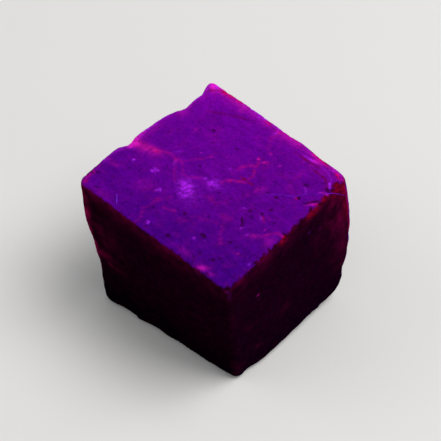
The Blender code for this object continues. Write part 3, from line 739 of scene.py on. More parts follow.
def top_height(x, y):
    """Height of the top face, with its ledges, valley, notch and pits."""
    z = ground_height(x, y)
    towards_corner = CORNER_DIRECTION[0] * x + CORNER_DIRECTION[1] * y
    grown = ramp(*CORNER_LEDGE_START, x)
    for facing_back, facing_corner, drop in CORNER_LEDGES:
        past = soft_max(y - facing_back, towards_corner - facing_corner, CORNER_LEDGE_TURN)
        z -= drop * grown * ramp(*CORNER_LEDGE_RISER, past)
    distance, along = path_distance(x, y, VALLEY)
    z -= VALLEY_DEPTH * (1.0 - along) * bell(distance, VALLEY_WIDTH)
    z -= NOTCH_DEPTH * bell(y - NOTCH_Y, NOTCH_WIDTH) * ramp(*NOTCH_RUN, x)
    return z - pitted(x, y, PITS)


def scar_bite(points, place, direction, radius, depth):
    """How far a point reaches into the ball that leaves a scar of this depth."""
    outwards = np.array(direction) / np.linalg.norm(direction)
    centre = np.array(place) + (radius - depth) * outwards
    return radius - np.linalg.norm(points - centre, axis=1)


def shells(points):
    """How much lower the flaked places lie."""
    running = 1.0 - ramp(*SHELL_END, np.abs(towards_split(points[:, 0], points[:, 1])))
    total = np.zeros(len(points))
    for middle, radius, thickness in SHELLS:
        past = np.linalg.norm(points - np.array(middle), axis=1) - radius
        total += thickness * running * ramp(SHELL_SLOPE, -SHELL_SLOPE, past)
    return total


def ledge(points):
    """Depth of the hollow above the ledge between L and F."""
    x, y, z = points.T
    path_x, path_z = np.array(LEDGE).T
    above = z - np.interp(x, path_x, path_z)
    hollow = ramp(0.0, LEDGE_RISER, above) * (1.0 - ramp(LEDGE_RISER, LEDGE_HOLLOW, above))
    running = ramp(path_x[0], path_x[1], x) * (1.0 - ramp(path_x[1], path_x[-1], x))
    return LEDGE_DEPTH * hollow * running * np.where(y < -NEAR_SIDE, 1.0, 0.0)


def lumps(points):
    """Gentle unevenness, in millimetres: low waves that cross at seeded angles."""
    total = np.zeros(len(points))
    for (length, height), seed in zip(LUMPS, LUMP_SEEDS):
        rng = np.random.default_rng(seed)
        directions = rng.normal(size=(WAVE_COUNT, 3))
        directions /= np.linalg.norm(directions, axis=1)[:, None]
        phases = rng.uniform(0.0, 2.0 * np.pi, WAVE_COUNT)
        turns = points @ directions.T * (2.0 * np.pi / length) + phases
        total += height * np.sin(turns).sum(axis=1) / np.sqrt(0.5 * WAVE_COUNT)
    calm_from, calm_to, share = LUMP_CALM
    return total * (1.0 - (1.0 - share) * ramp(calm_from, calm_to, points[:, 2]))


def outside(points):
    """How far each point lies outside the stone, in millimetres, negative inside it."""
    x, y, z = points.T
    left, front, right, back = (upright_at(name, z) for name in "LFRB")
    side_x = np.maximum(
        beyond_side(x, y, front, right) - foot_swell(y, z),
        beyond_side(x, y, back, left) - rim_lobes(y, z),
    )
    side_y = np.maximum(beyond_side(x, y, left, front), beyond_side(x, y, right, back))
    sides = soft_max(side_x, side_y, between_corners(x, y, UPRIGHT_WEAR))
    sides = soft_max(sides, towards_split(x, y) - split_at(z), SPLIT_WEAR)
    whole = soft_max(sides, z - top_height(x, y), between_corners(x, y, TOP_WEAR))
    for scar in SCARS:
        whole = soft_max(whole, scar_bite(points, *scar), SCAR_SOFTNESS)
    for place, radius, depth in RIM_CHIPS:
        direction = CHIP_TOWARDS_X if place[0] > RIM_TOWARDS_X else CHIP_TOWARDS_Y
        whole = soft_max(whole, scar_bite(points, place, direction, radius, depth), CHIP_SOFTNESS)
    whole += shells(points) + ledge(points) - lumps(points)
    return soft_max(whole, -z, between_corners(x, y, BASE_WEAR))


def cube_lattice(across, down):
    """Points over a cube from -1 to 1, fine on top, and the faces that join them, facing outwards."""
    steps = np.linspace(-1.0, 1.0, across + 1)
    points = [(u, v, 1.0) for v in steps for u in steps]
    faces = []
    row = across + 1
    for j in range(across):
        for i in range(across):
            a = j * row + i
            faces.append((a, a + 1, a + row + 1, a + row))
    rim = list(range(across))
    rim += [j * row + across for j in range(across)]
    rim += [across * row + i for i in range(across, 0, -1)]
    rim += [j * row for j in range(across, 0, -1)]
    square = [points[i][:2] for i in rim]
    levels = [(1.0, 1.0 - 2.0 * k / down) for k in range(1, down + 1)]
    levels += [(1.0 - UNDER_REACH * (r / UNDER_ROWS), -1.0) for r in range(1, UNDER_ROWS + 1)]
    above = rim
    for shrink, w in levels:
        start = len(points)
        points += [(u * shrink, v * shrink, w) for u, v in square]
        below = list(range(start, len(points)))
        for k in range(len(rim)):
            n = (k + 1) % len(rim)
            faces.append((above[k], below[k], below[n], above[n]))
        above = below
    faces.append(tuple(reversed(above)))
    return np.array(points), faces


def graded(values, grading):
    """Draws evenly spaced values from -1 to 1 towards both ends."""
    return np.sin(0.5 * np.pi * grading * values) / np.sin(0.5 * np.pi * grading)


def unworn_block(cube_points):
    """Carries the points of a cube from -1 to 1 to the block's unworn faces."""
    u, v = graded(cube_points[:, :2], TOP_GRADING).T
    w = graded(cube_points[:, 2], DOWN_GRADING)
    z = 0.5 * HEIGHT * (1.0 + w)
    at = {name: upright_at(name, z) for name in "LFRB"}
    half = 0.5 * EDGE
    x = between_corners(half * u, half * v, {name: at[name][0] for name in at})
    y = between_corners(half * u, half * v, {name: at[name][1] for name in at})
    z += 0.5 * (1.0 + w) * (TOP_SLOPE[0] * x + TOP_SLOPE[1] * y)
    return np.stack([x, y, z], axis=1)


def worn_surface(block_points):
    """Carries each point of the unworn block in or out to the stone's surface."""
    middle = np.array(MIDDLE)
    ways = block_points - middle
    low = np.full(len(ways), REACH[0])
    high = np.full(len(ways), REACH[1])
    for _ in range(HALVINGS):
        half = 0.5 * (low + high)
        inside = outside(middle + half[:, None] * ways) < 0.0
        low = np.where(inside, half, low)
        high = np.where(inside, high, half)
    return middle + low[:, None] * ways


# Finer relief and paint.

# A place belongs to the ground top by how far upwards it faces and how high it lies.
# The ground top is painted violet as if lit by a lamp above; the rest takes the painted shade of the sides.
TOP_TILT, TOP_REACH = (0.55, 0.90), (HEIGHT - 3.0, HEIGHT - 2.0)
RAGGED = (0.30, 0.45, 3, 4.0)  # raggedness of the top's border: strength, lump size, octaves, shift
FRAYED = (0.30, 0.25, 2, 9.0)  # the same for the finer fraying of the rim from F to R
RAGGED_RIM, RAGGED_NICKS = 1.5, 0.6  # shares of the raggedness on that rim and round the broken places
WORN_RIM = (-0.34, -0.10)  # the rim from F to R is broken away outside these distances from its side
NICK_DEPTH, NICK_GLOW = 0.08, 0.20  # how far the broken places are lowered, and their red glow
NICK_GLOW_RISE = (0.2, 2.6)  # that glow grows between these distances from F
# Relief of the broken sides, in layers: share of its height, lump size, octaves, shift.
FRACTURE = ((1.0, 1.3, 4, 0.0), (0.5, 0.5, 2, 0.0))
FRACTURE_CRESTS = (0.7, 3.0, 3, 7.0)  # this layer folds over, which leaves crests
# The same for the ground top, and the layer that is added under the painted highlights.
GRAIN = ((0.35, 0.9, 2, 0.0), (0.25, 0.35, 2, 3.0))
CRUSHED = (1.0, 0.22, 2, 11.0)
CRACK_DEPTH = 0.06
FINISHED_FROM = (0.0, 0.6)  # the finer relief begins between these heights above the base
# Small chips along each rim: how many, their largest half size and their greatest depth in millimetres.
CHIPS = {"LF": (26, 0.26, 0.05), "FR": (90, 0.46, 0.17), "RB": (56, 0.36, 0.10), "BL": (44, 0.36, 0.10)}
CHIP_SEED = 34
CHIP_SMALLEST, CHIP_FEW_LARGE = 0.09, 2.2  # smallest half size, and how few come near the largest
CHIP_ALONG = (0.02, 0.98)  # they lie between these shares of the rim's length
CHIP_SCATTER = (0.10, 0.10, 0.12)  # and stray this far from it along x, y and z
CHIP_LONGER, CHIP_GLOW_RANGE = (0.8, 2.0), (0.1, 1.0)  # how much longer along y, and how strongly they take the painted red glow
# Scattered tiny pits of the top.
SPECK_SEED, SPECK_COUNT = 21, 400
SPECK_X, SPECK_Y = (-10.5, 10.0), (-10.0, 9.6)
SPECK_HALF, SPECK_LONGER = (0.05, 0.13), (1.0, 1.8)  # half width, and how much longer than wide
# Depth of the specks, their painted shade, and how few are strongly shaded.
SPECK_DEPTH, SPECK_SHADE, SPECK_FEW_SHADED = (0.012, 0.045), (0.05, 0.60), 1.3
PIT_WIDTH, SPOT_WIDTH = 0.75, 0.8  # spread of a pit and of a painted spot, as a share of its half size
CRISP = (1.25, 0.65)  # a crisp spot ends between these shares of its half size
SCRATCH_TURN, SCRATCH_LENGTH = 43.5, 2.5  # fine scratches: degrees from x, and how much longer than wide
# The paint sways a little to either side: strength, lump size, octaves, shift, along x and along y.
SWAYS = ((1.0, 0.7, 2, 1.5), (1.0, 0.7, 2, 5.5))
SPOT_SWAY, VEIN_SWAY = 0.05, 0.12  # how far the spots and the veins sway
# Patterns that break up the paint: middle, strength, lump size, octaves, shift, lowest and highest value.
PATCHY = (0.75, 0.9, 0.30, 3, 9.0, 0.15, 1.25)
PATCHY_RIM = (0.95, 0.3, 1.2, 2, 19.0, 0.6, 1.1)
BROKEN_VEINS = (0.55, 1.5, 0.8, 3, 13.0, 0.0, 1.0)
SMOULDER = (0.75, 0.8, 1.4, 3, 2.0, 0.1, 1.3)
SHEEN_PATCHES = (0.75, 1.1, 1.8, 4, 17.0, 0.25, 1.0)
RIM_ZONE = (8.6, 9.6)  # the rims' own pattern takes over from the top's between these distances
VEIN_BREAKS = 0.40  # how much of a vein's strength is lost where it is broken
SIDE_PINK_GLOW = 0.25  # share of the painted pink glow that also lies on the broken sides
FINE_PIT_SHADE, FINE_PIT_FULL = 0.5, 0.08  # painted shade of a fine pit, reached at this depth
CHIP_RED_GLOW, CHIP_GLOW_BORDER = 0.5, (0.025, 0.25)  # painted red glow of the chips, and where it ends beside the border
UNDER_RIM = (1.25, 0.20)  # the top's paint runs down over the rims between these depths
UNDER_RIM_RAGGED = (0.5, 0.9, 3, 23.0)
# The change from the front colour to the rear one: its slant in plan, its length, and how it wavers.
REAR_SLANT, REAR_LENGTH, REAR_WANDER = 0.45, 30.0, (0.08, 5.0, 2, 0.0)


def unevenness(points, strength, size, octaves, shift):
    """Natural unevenness of about this strength both ways, with lumps of this size in millimetres."""
    places = (points / size + shift).tolist()
    return strength * np.array([noise.fractal(place, 1.0, 2.0, octaves) for place in places])


def pattern(points, middle, strength, size, octaves, shift, low, high):
    """A share that wavers round its middle, held between low and high."""
    return np.clip(middle + unevenness(points, strength, size, octaves, shift), low, high)


def brushed(points):
    """The points drawn together along the direction of the fine scratches, so that patterns run along it."""
    turn = np.radians(SCRATCH_TURN)
    along = points[:, 0] * np.cos(turn) + points[:, 1] * np.sin(turn)
    across = points[:, 1] * np.cos(turn) - points[:, 0] * np.sin(turn)
    return np.stack([along / SCRATCH_LENGTH, across, points[:, 2]], axis=1)


def in_box(points, place, half, width=1.0):
    """1 at the place, fading over the half sizes along x, y and z."""
    return bell(np.linalg.norm((points - np.array(place)) / np.array(half), axis=1), width)


def strongest_box(points, table):
    """The strongest of the boxed spots in a table at each point."""
    total = np.zeros(len(points))
    for place, half, strength in table:
        total = np.maximum(total, strength * in_box(points, place, half))
    return total


def strongest_line(x, y, table):
    """The strongest of the lines in a table at each place in plan."""
    total = np.zeros(len(x))
    for strength, half_width, path in table:
        total = np.maximum(total, strength * bell(path_distance(x, y, path)[0], half_width))
    return total


def held(values):
    """The values held between 0 and 1."""
    return np.clip(values, 0.0, 1.0)


def rim_point(rim, share):
    """A place on the rim of the top, this share of the way along it."""
    ends = [np.array(upright_at(name, HEIGHT)) for name in rim]
    x, y = ends[0] + (ends[1] - ends[0]) * share
    if rim == "BL":
        x -= rim_lobes(np.array([y]), np.array([HEIGHT]))[0]
    return np.array([x, y, ground_height(x, y)])


def small_chips(points, depth_share):
    """How deep small chips along the rims of the top are at each point, and how much painted red glow they
    take.
    """
    rng = np.random.default_rng(CHIP_SEED)
    total, chip_glow = np.zeros(len(points)), np.zeros(len(points))
    for rim, (count, largest, depth) in CHIPS.items():
        for _ in range(count):
            place = rim_point(rim, rng.uniform(*CHIP_ALONG)) + rng.normal(0.0, CHIP_SCATTER)
            half = CHIP_SMALLEST + (largest - CHIP_SMALLEST) * rng.uniform() ** CHIP_FEW_LARGE
            longer = rng.uniform(*CHIP_LONGER)
            bite = in_box(points, place, (half, half * longer, half), SPOT_WIDTH)
            total = np.maximum(total, depth_share * depth * (half / largest) * bite)
            chip_glow = np.maximum(chip_glow, bite * rng.uniform(*CHIP_GLOW_RANGE))
    return total, chip_glow


def specks(x, y, top):
    """Scattered tiny pits of the top face: how deep they are and how much painted shade they hold."""
    rng = np.random.default_rng(SPECK_SEED)
    depth, painted_pit_shade = np.zeros(len(x)), np.zeros(len(x))
    for _ in range(SPECK_COUNT):
        place_x, place_y = rng.uniform(*SPECK_X), rng.uniform(*SPECK_Y)
        half = rng.uniform(*SPECK_HALF)
        longer, turn = rng.uniform(*SPECK_LONGER), rng.uniform(0, 180)
        here = bell(oval(x, y, place_x, place_y, half * longer, half, turn), SPOT_WIDTH)
        depth += rng.uniform(*SPECK_DEPTH) * here
        painted_pit_shade = np.maximum(painted_pit_shade, rng.uniform(*SPECK_SHADE) ** SPECK_FEW_SHADED * here)
    return depth * top, painted_pit_shade * top


def ovals(x, y, table, crisp=False):
    """The strongest of the ovals in a table at each place in plan, with soft or crisp rims."""
    total = np.zeros(len(x))
    for place_x, place_y, half_length, half_width, turn, strength in table:
        away = oval(x, y, place_x, place_y, half_length, half_width, turn)
        total = np.maximum(total, strength * (ramp(*CRISP, away) if crisp else bell(away, SPOT_WIDTH)))
    return total


def relief(points, normals, settings):
    """How far the finest relief lowers each point, in millimetres, and the shares it is painted by."""
    x, y, z = points.T
    ragged = unevenness(points, *RAGGED)
    top = ramp(*TOP_TILT, normals[:, 2] + ragged) * ramp(*TOP_REACH, z)
    inset = beyond_side(x, y, upright_at("F", HEIGHT), upright_at("R", HEIGHT))
    worn = ovals(x + RAGGED_NICKS * ragged, y - RAGGED_NICKS * ragged, NICKS, crisp=True)
    worn = np.maximum(worn, ramp(*WORN_RIM, inset + RAGGED_RIM * ragged + unevenness(points, *FRAYED)))
    # Broken places lose the painted lamp light of the top and take the painted shade of the sides.
    top, nick = top * (1.0 - worn), top * worn
    chip_depth, chip_glow = small_chips(points, settings.chip_share)
    speck_depth, painted_pit_shade = specks(x, y, top)
    fracture = sum(unevenness(points, *layer) for layer in FRACTURE)
    fracture += np.abs(unevenness(points, *FRACTURE_CRESTS))
    highlight = ovals(x, y, HIGHLIGHTS)
    grain = sum(unevenness(points, *layer) for layer in GRAIN) + highlight * unevenness(points, *CRUSHED)
    cracked = strongest_line(x, y, CRACKS)
    low = (1.0 - top) * fracture * settings.fracture_height / MM + top * grain * settings.grain_depth / MM
    low += top * (CRACK_DEPTH * cracked + pitted(x, y, FINE_PITS)) + NICK_DEPTH * nick
    shares = {"up": top, "nick": nick, "chip_glow": chip_glow, "speck": painted_pit_shade, "highlight": highlight, "crack": cracked}
    return low + chip_depth + speck_depth, shares


def facings(normals):
    """How much each point faces -y, +x, +y and -x."""
    return -normals[:, 1], normals[:, 0], normals[:, 1], -normals[:, 0]


def rim_bands(points, normals):
    """Glow of the sides just under the rim of the top, strongest where the stone is thin."""
    x, y, z = points.T
    under = np.clip(ground_height(x, y) - z, 0.0, None)
    total = np.zeros(len(x))
    for facing, (share, depth) in zip(facings(normals), EMBER_BANDS):
        total = np.maximum(total, share * ramp(*BAND_FACING, facing) * np.exp(-under / depth))
    return total * (1.0 - BAND_LOSS * ramp(*BAND_LOSS_X, x) * ramp(*BAND_LOSS_Y, y))


def side_light(points, normals):
    """Faint inner light of the sides: its red and its violet share."""
    risen = ramp(*SIDE_LIGHT_RISE, points[:, 2])
    red, violet = np.zeros(len(points)), np.zeros(len(points))
    for facing, (red_low, red_high, violet_low, violet_high) in zip(facings(normals), SIDE_LIGHT):
        turned = held(facing) ** 2
        red += turned * (red_low + (red_high - red_low) * risen)
        violet += turned * (violet_low + (violet_high - violet_low) * risen)
    return red, violet


def ridges(points, normals, table):
    """Glow of the ridges, where the surface turns towards certain directions."""
    total = np.zeros(len(points))
    for direction, tilts, (low, risen, falling, gone), share in table:
        height = ramp(low, risen, points[:, 2]) * (1.0 - ramp(falling, gone, points[:, 2]))
        far_out = ramp(*RIDGE_REACH, points @ np.array(direction))
        total = np.maximum(total, share * height * far_out * ramp(*tilts, normals @ np.array(direction)))
    return total


def split_glow(points):
    """Glow along the edge of the split at L."""
    x, y, z = points.T
    share, reach, (low, risen, falling, gone) = SPLIT_GLOW
    height = ramp(low, risen, z) * (1.0 - ramp(falling, gone, z))
    corner = towards_split(*upright_at("L", z)) - SPLIT_CORNER * UPRIGHT_WEAR["L"]
    return share * height * ramp(*reach, np.minimum(split_at(z), corner) - towards_split(x, y))


def paint(points, normals, shares):
    """What each place of the stone looks like, as named shares from 0 to 1."""
    x, y, z = points.T
    top = shares["up"]
    sway_x, sway_y = (unevenness(points, *sway) for sway in SWAYS)
    spot_x, spot_y = x + SPOT_SWAY * sway_x, y + SPOT_SWAY * sway_y
    patchy = pattern(brushed(points), *PATCHY)
    at_rim = ramp(*RIM_ZONE, np.maximum(np.abs(x), np.abs(y)))
    patchy_pink_glow = patchy + (pattern(points, *PATCHY_RIM) - patchy) * at_rim
    glowing_veins = strongest_line(x + VEIN_SWAY * sway_x, y + VEIN_SWAY * sway_y, GLOWING_VEINS)
    unbroken = 1.0 - VEIN_BREAKS * (1.0 - pattern(points, *BROKEN_VEINS))

    near_top = ramp(*UNDER_RIM, ground_height(x, y) - z + unevenness(points, *UNDER_RIM_RAGGED))
    blush = ovals(spot_x, spot_y, PINK_GLOWS) * near_top * np.maximum(top, SIDE_PINK_GLOW)
    scarlet = np.maximum(ovals(spot_x, spot_y, RED_GLOW_SPOTS) * near_top, strongest_box(points, FIRES))
    bright = shares["highlight"] * top
    spots = [(bell(path_distance(x, y, path)[0], half) * near_top, *paints) for path, half, *paints in GLOWS]
    spots += [(in_box(points, place, half), pink, 0.0, violet) for place, half, pink, violet in SIDE_GLOW_SPECKS]
    for here, pink, red, violet in spots:
        blush = np.maximum(blush, pink * here)
        scarlet = np.maximum(scarlet, red * here)
        bright = np.maximum(bright, violet * here)

    from_f = np.hypot(x - UPRIGHTS["F"][1][0], y - UPRIGHTS["F"][1][1])
    ember = np.maximum.reduce([
        rim_bands(points, normals),
        ridges(points, normals, RED_RIDGES),
        split_glow(points),
        NICK_GLOW * shares["nick"] * ramp(*NICK_GLOW_RISE, from_f),
        strongest_box(points, EMBERS),
    ])
    ember = held(ember * pattern(points, *SMOULDER))
    red, violet = side_light(points, normals)
    fine_pits = FINE_PIT_SHADE * held(pitted(x, y, FINE_PITS) / FINE_PIT_FULL)
    painted_pit_shade = np.maximum.reduce([ovals(spot_x, spot_y, PIT_SHADES, crisp=True), fine_pits, shares["speck"]])
    border = 1.0 - ramp(*CHIP_GLOW_BORDER, np.abs(top - 0.5))
    return {
        "up": top,
        "rear": held(0.5 + (y - REAR_SLANT * x) / REAR_LENGTH + unevenness(points, *REAR_WANDER)),
        "vein": held(glowing_veins * patchy * unbroken) * top,
        "blush": held(blush * patchy_pink_glow),
        "scarlet": held(np.maximum(scarlet, CHIP_RED_GLOW * shares["chip_glow"] * border) * patchy),
        "crack": held(shares["crack"] * patchy) * top,
        "pit": held(painted_pit_shade) * top,
        "bright": held(bright * patchy + violet),
        "ember": held(ember + red),
        "sheen": ridges(points, normals, VIOLET_RIDGES) * pattern(points, *SHEEN_PATCHES),
    }


def point_normals(mesh):
    """The mesh's smooth normal at each point."""
    values = np.zeros(3 * len(mesh.vertices))
    mesh.vertex_normals.foreach_get("vector", values)
    return values.reshape(-1, 3)


def stone_mesh(name, settings):
    """The stone's fine closed mesh, in metres, with its paint as named shares."""
    cube_points, faces = cube_lattice(settings.rows_across, settings.rows_down)
    points = worn_surface(unworn_block(cube_points))
    mesh = bpy.data.meshes.new(name)
    mesh.from_pydata(points.tolist(), [], faces)
    mesh.update()
    normals = point_normals(mesh)
    lowered, shares = relief(points, normals, settings)
    finished = points - normals * (lowered * ramp(*FINISHED_FROM, points[:, 2]))[:, None]
    finished[:, 2] = np.maximum(finished[:, 2], 0.0)
    mesh.vertices.foreach_set("co", (finished * settings.edge / EDGE).ravel())
    for label, values in paint(points, normals, shares).items():
        layer = mesh.attributes.new(label, "FLOAT", "POINT")
        layer.data.foreach_set("value", values.astype(np.float32))
    bm = bmesh.new()
    bm.from_mesh(mesh)
    bmesh.ops.triangulate(bm, faces=bm.faces[:])
    up = bm.verts.layers.float["up"]
    for face in bm.faces:
        face.smooth = True
        face.material_index = int(sum(vertex[up] for vertex in face.verts) > 0.5 * len(face.verts))
    bm.to_mesh(mesh)
    bm.free()
    return mesh


# Materials.

SIDE_GLOSS, TOP_GLOSS, LINT_GLOSS = 0.0, 0.004, 0.02  # reflection of the sides, the top and the lint
# Cloudy patterns: size in millimetres, detail, roughness.
CLOUDS = (3.5, 3.0, 0.55)
PATCHES = (0.9, 3.0, 0.6)
FINE_GRAIN = (0.30, 2.0, 0.6)
SMUDGES = (1.4, 4.0, 0.7)
RIPPLES = (0.55, 2.0, 0.55)
LINT_PATCHES = (0.8, 2.0, 0.55)
RIPPLE_TURN, RIPPLE_STRETCH = 38.0, 0.16
# How a pattern is carried over into a share or a factor: from low, high, to low, high.
CLOUDY_REAR = (0.3, 0.7, -0.12, 0.12)
PINK_GLOW_PATCHES = (0.50, 0.78, 0.0, 0.10)
DEEP_PATCHES = (0.50, 0.28, 0.0, 0.25)
SIDE_FAINT_GLOW = (0.45, 0.75, 0.0, 0.016)
GLOW_PATCHES = (0.3, 0.7, 0.65, 1.25)
GLITTER = (0.34, 0.56, 0.55, 1.20)
SHADE_GRAIN = (0.3, 0.7, 0.84, 1.16)
SHADE_RIPPLES = (0.3, 0.7, 0.90, 1.10)
SHADE_SMUDGES = (0.3, 0.7, 0.90, 1.12)
STONE_ROUGHNESS = (0.7, 1.3, 0.34, 0.60)
LINT_FADING = (0.35, 0.7, 0.0, 1.0)
LINT_ROUGHNESS = (0.3, 0.7, 0.6, 0.8)
LINT_FADED = 0.45  # brightness of faded lint
# Shares kept on the mesh, in the order they are painted, and their strength.
PAINTS = (("vein", 0.74), ("blush", 0.85), ("scarlet", 0.90), ("crack", 0.92), ("pit", 0.88), ("sheen", 1.0))
BUMP, BUMP_PATCHES, BUMP_RIPPLES = 0.4, 1.5, 0.8  # strength of the bumps, and the patches' and ripples' part
MIX_SOCKETS = (0, 6, 7)  # a colour mixer's share, first and second colour


def add_node(tree, kind, **settings):
    """Adds a node and sets its own settings."""
    node = tree.nodes.new(kind)
    for name, value in settings.items():
        setattr(node, name, value)
    return node


def feed(tree, socket, value):
    """Links an output into a socket, or sets the socket's own value."""
    if isinstance(value, bpy.types.NodeSocket):
        tree.links.new(value, socket)
    elif hasattr(value, "__len__") and len(value) == 3 and socket.type == "RGBA":
        socket.default_value = (*value, 1.0)
    else:
        socket.default_value = value


def mixed(tree, share, first, second, blend="MIX"):
    """The first colour turned into the second by the share."""
    node = add_node(tree, "ShaderNodeMix", data_type="RGBA", blend_type=blend, clamp_factor=True)
    for index, value in zip(MIX_SOCKETS, (share, first, second)):
        feed(tree, node.inputs[index], value)
    return node.outputs[2]


def counted(tree, operation, *values):
    """A sum, product or other simple operation."""
    node = add_node(tree, "ShaderNodeMath", operation=operation)
    for socket, value in zip(node.inputs, values):
        feed(tree, socket, value)
    return node.outputs[0]


def spread(tree, value, ranges):
    """The value carried from one range to another, and held inside it."""
    node = add_node(tree, "ShaderNodeMapRange", clamp=True)
    for index, item in enumerate((value, *ranges)):
        feed(tree, node.inputs[index], item)
    return node.outputs[0]


def kept_share(tree, name):
    """A share kept on the mesh."""
    return add_node(tree, "ShaderNodeAttribute", attribute_name=name).outputs["Fac"]


def mottle(tree, place, size_mm, detail, roughness):
    """Cloudy pattern from 0 to 1 with clouds of this size in millimetres."""
    node = add_node(tree, "ShaderNodeTexNoise")
    feed(tree, node.inputs["Vector"], place)
    feed(tree, node.inputs["Scale"], 1.0 / (size_mm * MM))
    feed(tree, node.inputs["Detail"], detail)
    feed(tree, node.inputs["Roughness"], roughness)
    return node.outputs["Fac"]


def stretched(tree, place, turn, along):
    """The place turned about the upright axis and drawn out along one direction, for ripples."""
    node = add_node(tree, "ShaderNodeMapping")
    feed(tree, node.inputs["Vector"], place)
    node.inputs["Rotation"].default_value = (0.0, 0.0, np.radians(turn))
    node.inputs["Scale"].default_value = (along, 1.0, 1.0)
    return node.outputs["Vector"]


def new_material(name):
    """A new material with its node tree and its shader."""
    material = bpy.data.materials.new(name)
    material.use_nodes = True
    return material, material.node_tree, material.node_tree.nodes["Principled BSDF"]


def stone_material(name, settings, gloss):
    """Ruby: a ground top painted violet with the light of a lamp above, veins and rims painted with pink
    glow, and sides painted near-black as in shade, with painted red glow where the stone is thin.
    """
    material, tree, shader = new_material(name)
    place = add_node(tree, "ShaderNodeTexCoord").outputs["Object"]
    clouds, patches, grain = (mottle(tree, place, *sort) for sort in (CLOUDS, PATCHES, FINE_GRAIN))
    ripples = mottle(tree, stretched(tree, place, RIPPLE_TURN, RIPPLE_STRETCH), *RIPPLES)

    # The ground top: painted violet lamp light.
    rear = counted(tree, "ADD", kept_share(tree, "rear"), spread(tree, clouds, CLOUDY_REAR))
    top = mixed(tree, rear, settings.lit_front_colour, settings.lit_rear_colour)
    # Patches of painted pink glow.
    top = mixed(tree, spread(tree, patches, PINK_GLOW_PATCHES), top, settings.vein_colour)
    top = mixed(tree, spread(tree, patches, DEEP_PATCHES), top, settings.lit_front_colour)

    # The sides: painted near-black shade, with patches of painted red glow.
    side = mixed(tree, spread(tree, patches, SIDE_FAINT_GLOW), settings.shaded_side_colour, settings.ember_colour)
    glow = counted(tree, "MULTIPLY", kept_share(tree, "ember"), spread(tree, patches, GLOW_PATCHES))
    side = mixed(tree, glow, side, settings.ember_colour)

    colour = mixed(tree, kept_share(tree, "up"), side, top)
    for share, strength in PAINTS:
        amount = counted(tree, "MULTIPLY", kept_share(tree, share), strength)
        colour = mixed(tree, amount, colour, getattr(settings, share + "_colour"))
    # Painted violet highlights and glow, broken up by the grain.
    glitter = counted(tree, "MULTIPLY", kept_share(tree, "bright"), spread(tree, grain, GLITTER))
    colour = mixed(tree, glitter, colour, settings.highlight_colour)

    smudges = mottle(tree, place, *SMUDGES)
    shade = counted(tree, "MULTIPLY", spread(tree, grain, SHADE_GRAIN), spread(tree, ripples, SHADE_RIPPLES))
    shade = counted(tree, "MULTIPLY", shade, spread(tree, smudges, SHADE_SMUDGES))
    feed(tree, shader.inputs["Base Color"], mixed(tree, 1.0, colour, shade, blend="MULTIPLY"))

    worn = counted(tree, "ADD", patches, grain)
    feed(tree, shader.inputs["Roughness"], spread(tree, worn, STONE_ROUGHNESS))
    shader.inputs["Specular IOR Level"].default_value = gloss
    bump = add_node(tree, "ShaderNodeBump")
    bump.inputs["Strength"].default_value = BUMP
    bump.inputs["Distance"].default_value = settings.grain_depth
    height = counted(tree, "ADD", grain, counted(tree, "MULTIPLY", patches, BUMP_PATCHES))
    height = counted(tree, "ADD", height, counted(tree, "MULTIPLY", ripples, BUMP_RIPPLES))
    feed(tree, bump.inputs["Height"], height)
    feed(tree, shader.inputs["Normal"], bump.outputs["Normal"])
    return material


def fibre_material(name, colour):
    """Cotton lint with a painted blue-violet glow, a little brighter in places."""
    material, tree, shader = new_material(name)
    place = add_node(tree, "ShaderNodeTexCoord").outputs["Object"]
    along = mottle(tree, place, *LINT_PATCHES)
    faded = tuple(LINT_FADED * c for c in colour)
    bright = mixed(tree, spread(tree, along, LINT_FADING), faded, colour)
    feed(tree, shader.inputs["Base Color"], bright)
    feed(tree, shader.inputs["Roughness"], spread(tree, along, LINT_ROUGHNESS))
    shader.inputs["Specular IOR Level"].default_value = LINT_GLOSS
    return material


# Lint and dust.

# The lint fibre lies over the top and hangs over the rim near R: places it is laid through.
FIBRE = (
    (4.27, 0.73, 20.0),
    (4.57, 1.20, 20.0),
    (4.98, 1.82, 20.0),
    (5.30, 2.28, 20.0),
    (5.81, 2.78, 20.0),
    (6.27, 3.11, 20.0),
    (6.77, 3.44, 20.0),
    (7.40, 3.95, 20.0),
    (7.91, 4.75, 20.0),
    (8.50, 5.39, 20.0),
    (9.08, 6.01, 19.9),
    (9.75, 7.06, 19.6),
    (10.05, 8.23, 18.7),
    (10.19, 9.27, 17.7),
)
# Short lint and dust threads on the top face: places, width in millimetres.
THREADS = (
    (((-6.62, -8.79, 20.0), (-6.4, -9.0, 20.0), (-6.1, -9.3, 20.0), (-5.56, -9.84, 20.0)), 0.24),
    (((9.85, -5.6, 20.0), (9.8, -5.9, 20.0), (9.85, -6.15, 20.0)), 0.10),
    (((6.5, -0.55, 20.0), (6.75, -0.8, 20.0), (7.0, -1.0, 20.0)), 0.09),
)
# Dust grains: x, y, half size.
GRAINS = (
    (-8.71, -4.32, 0.15),
    (-6.12, -3.95, 0.09),
    (-5.73, -3.57, 0.10),
    (-3.64, -5.33, 0.12),
    (-3.90, -5.60, 0.07),
    (-1.55, -9.10, 0.10),
    (7.70, 5.35, 0.09),
    (4.57, -0.99, 0.07),
)
FIBRE_SIDES, FIBRE_STEPS = 6, 10  # sides of a thread, and rings for each stretch of it
NEVER_ALONG = (0.3, 0.2, 1.0)  # no thread runs this way
TIP_WIDTH, TIP_LENGTH = 0.35, 1.0 / 3.0  # width of a thread's ends, and the share of its length they take
FIBRE_LIFT, THREAD_LIFT, GRAIN_LIFT = -0.30, 0.1, 0.3  # middle above the surface, in radii
GRAIN_SIZE, GRAIN_UNEVEN, GRAIN_BUMPS = 0.9, 0.35, 0.6  # dust: its size, unevenness and size of its bumps


